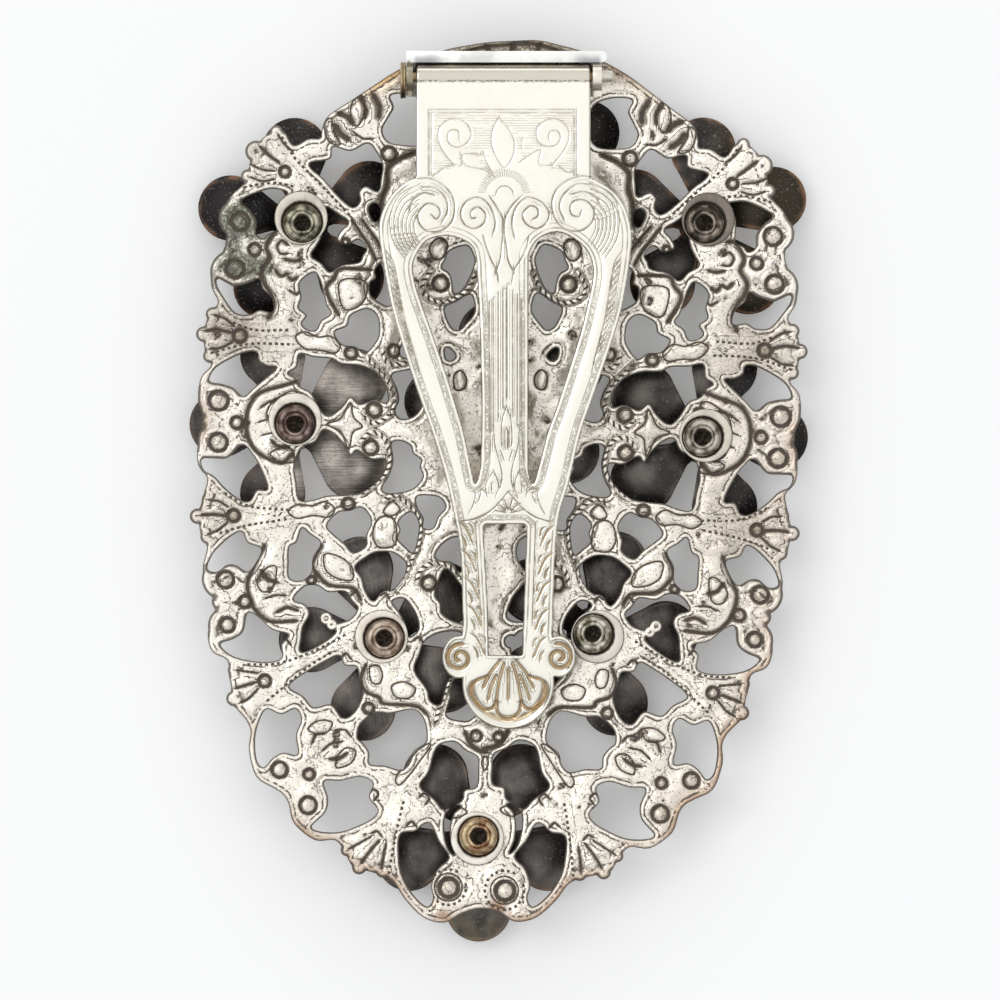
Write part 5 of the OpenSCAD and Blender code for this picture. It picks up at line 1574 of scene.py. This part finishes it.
SLOT = [
    [-1.2, -2.9], [-1, -2.7], [2.2, -2.7], [2.45, -2.9], [2.2, -10], [2.05, -13.7], [-0.75, -13.7],
    [-0.8, -10]
]
# Scrolls at the foot: across, along, and half their width and length
FOOT_SCROLLS = [[-3.2, -13.85, 1.45, 1.8], [5.15, -13.8, 1.4, 1.75]]
# The shell: its place, its radius and the lip round it
SHELL = [0.9, -16.05]
SHELL_RADIUS = 3.85
LIP_THICK = 0.6
LIP_HEIGHT = 0.5
BLADE_LATTICE = 0.11
BLADE_REACH = 1.2
strip_end = HINGE_ALONG + BARREL_RADIUS * ROLL_ANGLE
strip_right = LEVER_LEFT + LEVER_WIDE
blade = Sheet((-10.7, -20.5), (12, strip_end + 0.3), BLADE_LATTICE, BLADE_REACH)
strip = [(LEVER_LEFT, STRIP_FOOT), (strip_right, STRIP_FOOT)]
blade.add_metal([*strip, (strip_right, strip_end), (LEVER_LEFT, strip_end)])
blade.add_metal(curve_through(LEVER_SIDE_L + LEVER_SIDE_R, steps=8))
blade.add_round(*SHELL, SHELL_RADIUS)
for x, y, half_wide, half_long in FOOT_SCROLLS:
    angles = np.linspace(0, 2 * math.pi, 60, endpoint=False)
    blade.add_metal(loop(x, y, half_wide, angles, half_long))
for opening in (curve_through(WINDOW_L, steps=8), curve_through(WINDOW_R, steps=8), SLOT):
    spot, depth = blade.inside(opening)
    blade.metal[spot] = np.minimum(blade.metal[spot], -depth)
edge = np.clip(blade.metal, 0, None)
# A spiral's inner end, as part of its radius
SPIRAL_EYE = 0.2


def engrave(lines, width, depth, colour, smooth=True):
    """Cuts grooves along lines, which are rounded off where they have more than two points."""
    for line in lines:
        if smooth and len(line) > 2:
            line = curve_through(line, closed=False)
        blade.groove(line, width, depth, colour)


def spiral(x, y, r, start, turns):
    """Points of a spiral from its outer end inwards; turns below 0 go clockwise."""
    share = np.linspace(0, 1, 40)
    angle = math.radians(start) + share * turns * 2 * math.pi
    return loop(x, y, r * (1 - share * (1 - SPIRAL_EYE)), angle)


def between(first, second, share):
    """A curve part of the way from one curve to another."""
    first, second = curve_through(first, False), curve_through(second, False)
    return first * (1 - share) + second * share


# Frame, scrolls, bud and leaves of the top plate, and the arc of the rising sun below them
FRAME_LEFT, FRAME_RIGHT, FRAME_LOW, FRAME_HIGH = -5.8, 6.65, 26.6, 32.1
for inset in (0, 0.25):
    left, right, high = FRAME_LEFT + inset, FRAME_RIGHT - inset, FRAME_HIGH - inset
    frame_line = [(left, FRAME_LOW), (left, high), (right, high), (right, FRAME_LOW)]
    engrave([frame_line], 0.1, 0.05, 0.5, False)
LEFT_CURL = [[-3.2, 29.5], [-3.3, 30.3], [-4.0, 30.3], [-4.2, 29.5], [-3.6, 28.95], [-2.8, 29.1],
             [-2.2, 29.9], [-2.6, 30.9], [-3.6, 31.3], [-4.6, 30.9], [-5, 30], [-4.8, 29], [-4.3, 28.2],
             [-3.6, 27.4]]
RIGHT_CURL = [[4.3, 29.6], [4.4, 30.2], [5, 30.3], [5.3, 29.7], [4.9, 29.1], [4.1, 29], [3.4, 29.4],
              [3.3, 30.4], [3.9, 31.1], [4.9, 31.3], [5.8, 30.7], [6, 29.7], [5.6, 28.7], [4.6, 27.4]]
BUD = [[0.1, 31.4], [-0.4, 30.4], [-0.5, 29.2], [-0.1, 28.1], [0.6, 27.2], [1.3, 28.2], [1.4, 29.4],
       [0.9, 30.5], [0.1, 31.4]]
TOP_LEAVES = [
    [[-3.6, 27.4], [-3, 27.4], [-2.9, 28.3], [-1.5, 28.3]],
    [[-3.1, 28.4], [-2.7, 27.4], [-1, 27], [-0.6, 26.4]],
    [[-1.2, 28.5], [-0.8, 27.4], [-0.3, 26.6]],
    [[2.1, 29.6], [2.05, 28.9]],
    [[1.9, 27.7], [2.6, 28.2], [3.6, 28.7], [3.5, 27.5], [4.6, 27.4]],
    [[5.2, 27.3], [5.7, 26.9], [6.2, 26.8]],
    [[-5.4, 26.5], [-4.4, 27.2], [-3.4, 27.4]],
]
engrave([LEFT_CURL, RIGHT_CURL, BUD, *TOP_LEAVES], 0.12, 0.07, 0.6)
SUN = (0.6, 24.95)
SUN_ARC, RAY_STEP = 0.72, 6
RAY_FROM, RAY_TO = (1.45, 1.55), (2.1, 2.35)
engrave([loop(*SUN, SUN_ARC, np.linspace(0.1, 3.0, 16))], 0.12, 0.06, 0.6)

# Scrolls of the shoulders and of the middle
SCROLL_LINES = [
    [[-6.65, 26.3], [-5.6, 26.3], [-4.5, 25.7], [-3.8, 24.8], [-3.6, 23.7], [-3.9, 22.6], [-4.8, 21.9],
     [-5.9, 21.9], [-6.6, 22.6], [-6.6, 23.5], [-5.9, 24.2], [-5.1, 24], [-4.8, 23.4], [-5.1, 22.9],
     [-5.5, 23.2]],
    [[8, 26.4], [7, 26.5], [5.8, 26.1], [4.9, 25.3], [4.55, 24.2], [4.8, 23], [5.6, 22.1], [6.9, 21.9],
     [7.9, 22.6], [8.1, 23.6], [7.5, 24.4], [6.6, 24.5], [6.1, 24], [6.2, 23.3], [6.8, 23.1], [7, 23.5]],
    [[-0.4, 21.6], [-0.2, 22.6], [-0.6, 23.9], [-1.5, 24.7], [-2.6, 24.4], [-3.1, 23.4], [-2.8, 22.5],
     [-2, 22.1], [-1.2, 22.5], [-1, 23.3], [-1.6, 23.9], [-2.2, 23.6], [-2.2, 23], [-1.8, 23]],
    [[1.4, 21.4], [1.2, 22.5], [1.5, 23.8], [2.4, 24.7], [3.6, 24.4], [4.3, 23.5], [4.1, 22.6],
     [3.3, 22.1], [2.4, 22.5], [2.1, 23.3], [2.7, 24], [3.3, 23.8], [3.4, 23.2], [3, 22.9]],
    [[-0.6, 24.7], [0, 23.8], [0.45, 22.9], [0.5, 22]],
    [[2, 24.8], [1.2, 24], [0.6, 22.9], [0.5, 22]],
    [[-7.4, 23.6], [-7.1, 24.5], [-6.2, 25.1], [-5.3, 24.9]],
    [[8.7, 23.8], [8.2, 24.8], [7.2, 25.2], [6.3, 25]],
    [[-6.3, 25.6], [-5.2, 25.5], [-4.4, 24.7], [-4.2, 23.6], [-4.7, 22.6]],
    [[7.8, 25.8], [6.6, 25.8], [5.5, 24.9], [5.2, 23.8], [5.6, 22.8]],
]
engrave(SCROLL_LINES, 0.14, 0.1, 0.8)
# Curved hatching on the shoulders, from the scrolls down to the tops of the windows
SHOULDER_HATCH = [
    ([[-6.4, 25.9], [-8.1, 25], [-9, 23.2], [-8.8, 21.2], [-7.9, 19.7]],
     [[-6.9, 22.6], [-6.8, 22.1], [-6.6, 21.7], [-6.4, 21.4], [-6.3, 21.2]]),
    ([[7.8, 25.9], [9.6, 25], [10.2, 23.2], [10, 21.2], [9.1, 19.7]],
     [[8.2, 22.4], [8, 22], [7.8, 21.7], [7.5, 21.4], [7.4, 21.2]]),
]
for outer, inner in SHOULDER_HATCH:
    lines = [between(outer, inner, share) for share in np.arange(0, 0.85, 0.14)]
    engrave(lines, 0.08, 0.05, 0.55, False)
# Diagonal cuts down both arms, whose middles lie at these places across at three heights
ARM_HEIGHTS = (10.8, 15, 19.5)
ARM_MIDDLES = {-1: (-6.6, -7.8, -8.6), 1: (7.9, 9, 9.7)}
ARM_CUT = [(0.75, 0.9), (0.2, 0.1), (-0.1, -1.1)]
for way, middles in ARM_MIDDLES.items():
    for height in np.arange(11.2, 19.6, 0.62):
        x = np.interp(height, ARM_HEIGHTS, middles)
        engrave([[(x + way * across, height + up) for across, up in ARM_CUT]], 0.09, 0.05, 0.6)

# The arms and legs swell a little between their edges
ARM_TOP, LEG_FOOT = 26.2, -13
above_foot = limited(blade.y - LEG_FOOT)
on_arms = limited((ARM_TOP - blade.y) / 0.8) * above_foot
swell = limited((24 - blade.y) / 6) * above_foot
blade.height += 0.12 * swell * (1 - np.exp(-np.clip(edge - 0.75, 0, None) / 0.5))

# Flutes down the middle bar, to a leaf over a vase of smaller ones, and the fan under its pointed arch
FLUTES = (-0.69, -0.36, 0.06, 0.46, 0.8, 1.29, 1.66, 2.04)
FLUTE_TOP, FLUTE_FOOT, LEAF_SLOPE = 17.4, 7.9, 2.6
MIDDLE = 0.76
for x in FLUTES:
    aside = abs(x - MIDDLE)
    flute = [(x, FLUTE_TOP - aside), (x, max(FLUTE_FOOT - LEAF_SLOPE * aside, 5))]
    engrave([flute], 0.1, 0.06, 0.6, False)
BAR_ENDS = [
    [[-1.2, 21.4], [-0.9, 20.4], [-0.5, 19.4], [-0.1, 18.6], [0.1, 17.6]],
    [[2.6, 21.4], [2.4, 20.4], [1.9, 19.4], [1.4, 18.6], [1.2, 17.6]],
    [[0.5, 22], [0.35, 20.6], [0.2, 19.4], [-0.2, 18.4]],
    [[0.5, 22], [0.75, 20.6], [0.9, 19.4], [1.4, 18.4]],
    [[-3, -2.45], [-1.9, -2.25], [-0.8, -1.75], [0.15, -0.9], [0.9, 0]],
    [[0.9, 0], [1.45, -0.6], [2.1, -1.35], [3.2, -2.1], [4.5, -2.5]],
]
engrave(BAR_ENDS, 0.13, 0.08, 0.8)
# One side of the leaves, across from the bar's middle; the other side mirrors it
HALF_LEAVES = [
    [[0, 7.2], [0.3, 6.3], [0.42, 5.5], [0.45, 4.6], [0.42, 3.9]],
    [[0, 5.4], [0.14, 5.1], [0.14, 4.3], [0.13, 3.7]],
    [[1.15, 5.6], [1.06, 4.9], [0.95, 3.8], [0.62, 2.6], [0.42, 1.7], [0.4, 0.95], [0.6, 0.2]],
    [[0.46, 3.4], [0.36, 3.1], [0.25, 2.75]],
    [[1.33, 5], [1.4, 3], [1.57, 1.8], [1.97, 0.7], [2.5, 0.25]],
    [[1.08, 1.75], [0.75, 1], [0.68, 0.3], [0.9, -0.3]],
    [[1.08, 1.75], [1.55, 1.05], [1.75, 0.4], [1.65, -0.25]],
    [[1.22, 0.75], [1.28, 0.4], [1.25, 0.05]],
    [[1.8, 0.1], [2.3, 0.25], [2.65, 0.15], [2.6, -0.3], [2.85, -1.2], [3.15, -1.75]],
    [[2.2, -0.2], [2.25, -0.5], [2.4, -0.8]],
]
for way in (-1, 1):
    engrave([[(MIDDLE + way * x, y) for x, y in line] for line in HALF_LEAVES], 0.1, 0.07, 0.65)
FAN = (0.92, -1.75)
for angle in range(10, 180, 32):
    way = np.array([math.cos(math.radians(angle)), math.sin(math.radians(angle))])
    engrave([[FAN + 0.35 * way, FAN + 1.15 * way]], 0.13, 0.08, 0.6, False)

# Slanting leaf cuts down both legs, long ones with a short one either side, and a line within them
LEG_LEAVES = 5
LEG_STEP = 2.33
LEG_LEAF = [
    (0.15, 0.9, [(0, 0), (0.3, -0.25), (0.6, -0.75), (1, -1.65)]),
    (0.17, 0.7, [(0.2, -1.2), (0.37, -1.5), (0.45, -1.95)]),
    (0.15, 0.7, [(0.75, -0.1), (0.95, -0.3), (1.02, -0.75)]),
]
# Where each leg's cuts start, which way they run, and how far each one moves over
LEG_TOPS = [(-3.1, -2.6, 1, 0.25), (4.6, -2.9, -1, -0.15)]
for x, y, way, lean in LEG_TOPS:
    for step in range(LEG_LEAVES):
        for width, colour, cut in LEG_LEAF:
            cut = [(x + lean * step + way * across, y - LEG_STEP * step + down) for across, down in cut]
            engrave([cut], width, 0.12, colour)
engrave([[(-1.85, -2.6), (-1.35, -11.2)], [(3.2, -2.6), (2.9, -11.2)]], 0.1, 0.06, 0.6, False)

# Spirals of the foot's scrolls, and the shell with its rim, lobes and grooves
SHELL_RIM = 0.78
FOOT_SPIRALS = [spiral(-3.17, -13.95, 1.2, 80, 1.45), spiral(5.15, -13.9, 1.2, 100, -1.45)]
engrave(FOOT_SPIRALS, 0.3, 0.18, 1, False)
spot = blade.window([SHELL], SHELL_RADIUS + 1)
far = np.hypot(blade.x[spot] - SHELL[0], blade.y[spot] - SHELL[1])
low_half = limited((SHELL[1] + 0.3 - blade.y[spot]) / 0.5)
under_rim = bell(far - SHELL_RADIUS + SHELL_RIM, 0.24) * low_half
blade.height[spot] -= 0.2 * under_rim
blade.cut[spot] = np.maximum(blade.cut[spot], 0.9 * under_rim)
LOBE_LINES = [
    [[-0.9, -15.5], [-1.9, -15.9], [-2.3, -16.6], [-1.9, -17.6], [-1.2, -18.2], [-0.5, -18.2],
     [-0.1, -17.7]],
    [[-0.1, -17.7], [0, -18.5], [0.5, -18.95], [1.2, -18.95], [1.8, -18.5], [2, -17.7]],
    [[2, -17.7], [2.5, -18.2], [3.2, -18.1], [3.9, -17.4], [4.1, -16.5], [3.7, -15.8], [2.7, -15.5]],
]
SHELL_CUTS = [
    [[0.9, -14.9], [0.92, -16.2], [0.9, -17.4]],
    [[0.55, -14.4], [0.15, -15.8], [-0.1, -17.5]],
    [[1.25, -14.4], [1.7, -15.8], [2, -17.5]],
    [[0.2, -14.2], [-0.6, -15.2], [-1.2, -16.4]],
    [[1.6, -14.2], [2.4, -15.2], [3, -16.4]],
    [[-0.1, -15.4], [-0.6, -16.5], [-0.8, -17.4]],
    [[1.9, -15.4], [2.4, -16.5], [2.7, -17.4]],
]
engrave(LOBE_LINES, 0.24, 0.16, 0.95)
engrave(SHELL_CUTS, 0.24, 0.15, 0.85)

# Rounded edges, and the raised one round the foot
blade.height -= 0.12 * limited(1 - edge / EDGE_ROUND) ** 2
blade.height += 0.12 * limited(1 - ((edge - 0.15) / 0.14) ** 2) * (blade.y < -12)
# The hatched ground of the top plate, clear of its scrolls, bud and leaves
CLEAR_SPOTS = [(0.7, 27.6, 1.5), (-2.6, 27.3, 1.2), (3.2, 27.3, 1.2)]
ground = (blade.x > FRAME_LEFT + 0.3) & (blade.x < FRAME_RIGHT - 0.3)
ground = (ground & (blade.y > 27) & (blade.y < FRAME_HIGH - 0.3)).astype(float)
for line in (LEFT_CURL[5:], RIGHT_CURL[5:], BUD):
    spot, depth = blade.inside(curve_through(line))
    ground[spot] *= depth < 0
for x, y, r in CLEAR_SPOTS:
    ground *= np.hypot(blade.x - x, blade.y - y) > r
# The barrel's band from its rough seam up to the flange, which dips towards its ends: painted shade,
# where the barrel curls away under the flange
SEAM_ALONG = 34.44
BAND_END = 37
across = (blade.x - 0.5) / 7.3
barrel_shade = (blade.y > SEAM_ALONG) * limited((BAND_END - across**4 * 1.5 - blade.y) / 0.2 + 0.5)
blade.height += 0.12 * limited((blade.y - SEAM_ALONG) / 0.12)
sun_x, sun_y = blade.x - SUN[0], blade.y - SUN[1]
blade_marks = {
    "cuts": limited(blade.cut),
    "shade": limited(blade.blurred(blade.cut, 0.4) * 1.6),
    "ground": blade.blurred(ground, 0.1),
    "line": blade.line,
    "line_side": blade.line_side,
    "edge": np.clip(edge, 0, 1.5),
    "arms": on_arms,
    "along": blade.y,
    "barrel_shade": blade.blurred(barrel_shade, 0.05),
    "sun_turn": np.arctan2(np.maximum(sun_y, 0), sun_x) / math.radians(RAY_STEP),
    "sun_far": np.where(sun_y > 0.1, np.hypot(sun_x, sun_y), 0),
}


def blade_side(values, low):
    """Places of the lever: along its bow, then round the barrel."""
    x, along, height = values[:, 0], values[:, 1], values[:, 2]
    flat = np.minimum(along, HINGE_ALONG)
    top = CROWN - LEVER_BOW + np.sqrt(LEVER_BOW**2 - (flat - CROWN_ALONG) ** 2)
    rolled = limited((along - HINGE_ALONG + THINNING) / THINNING)
    thick = LEVER_THICK + (ROLL_THICK - LEVER_THICK) * rolled * rolled * (3 - 2 * rolled)
    if low:
        far = np.hypot(x - SHELL[0], along - SHELL[1])
        lip = limited((far - SHELL_RADIUS + LIP_THICK) / 0.15) * (far < SHELL_RADIUS + 0.1)
        thick = thick + LIP_HEIGHT * lip * limited((SHELL[1] - along) / 0.4)
        height = -thick
    turn = np.clip(along - HINGE_ALONG, 0, None) / BARREL_RADIUS
    radius = BARREL_RADIUS + height
    y = np.where(turn > 0, HINGE_ALONG + radius * np.sin(turn), along)
    z = np.where(turn > 0, HINGE_HEIGHT + radius * np.cos(turn), top + height)
    return np.stack([x, y, z], -1)


lever = blade.cast(
    "engraved_lever",
    lambda values: blade_side(values, False),
    lambda values: blade_side(values, True),
    {"height": blade.height, **blade_marks},
    MOST_TRIANGLES,
)
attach(lever, "lever")
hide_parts("lever")
HATCH_STEP = 0.21
SILVER = (1, 0.955, 0.85, 1)
CREAM = (0.88, 0.81, 0.68, 1)
SHADED = (0.50, 0.45, 0.34, 1)
BARREL_SHADE = (0.62, 0.57, 0.48, 1)
INK_AND_EDGE_SHADE = (0.24, 0.20, 0.12, 1)
GOLD = (0.60, 0.42, 0.22, 1)
DEEP_GOLD = (0.30, 0.20, 0.09, 1)
silver = Finish("engraved_silver")
_, y, _ = silver.axes()
fine = silver.noise(0.16, 3.0)
soft = silver.noise(0.5, 3.0)
cloud = silver.noise(3.0, 3.0).rise(0.3, 0.75)
ragged = (fine - 0.5) * 0.7
edge = silver.stored("edge")
arms = silver.stored("arms")
along = silver.stored("along")
cuts = silver.stored("cuts")
strength = silver.noise(1.1, 2.0).rise(0.3, 0.6) * 0.5 + 0.5
strokes = 1 - (abs(silver.stored("line_side")) + ragged).rise(0.2, 0.52)
strokes = strokes * (1 - silver.stored("line").rise(1.5, 2.2)) * strength
# Two fine lines inside the edges, and a stippled strip between them down the arms
border = 1 - abs(edge - 0.34).rise(0.03, 0.07)
second = (1 - abs(edge - 0.74).rise(0.02, 0.06)) * along.rise(-3.5, -2.5)
border = border.most(second * 0.8) * arms * strength
strip = edge.rise(0.36, 0.42) * (1 - edge.rise(0.64, 0.72)) * arms
stipple = strip * (1 - along.rise(14, 20)) * along.rise(-3.5, -2.5) * fine.rise(0.46, 0.56)
rows = (y / (HATCH_STEP * MM) + soft * 0.5).part()
hatch = (1 - abs(rows - 0.5).rise(0.1, 0.3)) * silver.stored("ground").rise(0.4, 0.6)
hatch = hatch * silver.noise(0.9, 1.0, (0.6, 2, 1)).rise(0.36, 0.5)
ray = (silver.stored("sun_turn") - 0.5).part()
sun_far = silver.stored("sun_far")
rays = (1 - abs(ray - 0.5).rise(0.14, 0.3)) * sun_far.rise(*RAY_FROM)
rays = rays * (1 - (sun_far + ragged * 0.3).rise(*RAY_TO))
seam = 1 - abs(along - SEAM_ALONG + ragged * 0.35).rise(0.04, 0.14)
seam = seam * silver.noise(0.25, 2.0).rise(0.4, 0.55)
# Over the top plate the engraving and its shade are painted fainter, a painted highlight
faint = along.rise(23, 28)
dark = (strokes * (0.85 - faint * 0.4)).most(border * 0.6).most(stipple * 0.5).most(hatch * 0.35)
dark = dark.most(seam * 0.5).most(rays * 0.35)
gold = (cuts + ragged * 0.3).rise(0.25, 0.85) * (1 - along.rise(-3, -2))
deep = (cuts + ragged * 0.5).rise(0.75, 1.0) * (1 - along.rise(-3, -2))
# A painted shade line along the lever's very edges
painted_edge_shade = (1 - edge.rise(0.02, 0.09)) * 0.5
tint = silver.mix(cloud * 0.3, SILVER, CREAM)
tint = silver.mix(silver.stored("shade") * 0.5 * (1 - faint * 0.7), tint, SHADED)
# Painted shade over the barrel's band
tint = silver.mix(silver.stored("barrel_shade") * 0.8, tint, BARREL_SHADE)
tint = silver.mix(dark.most(painted_edge_shade), tint, INK_AND_EDGE_SHADE)
tint = silver.mix(gold * 0.75, tint, GOLD)
tint = silver.mix(deep * 0.55, tint, DEEP_GOLD)
silver.set(
    Base_Color=tint,
    Metallic=1.0,
    Roughness=0.22 + dark * 0.2,
    Normal=silver.bump(soft * 0.12 - dark * 0.8, 0.06),
)
silver.give(lever)
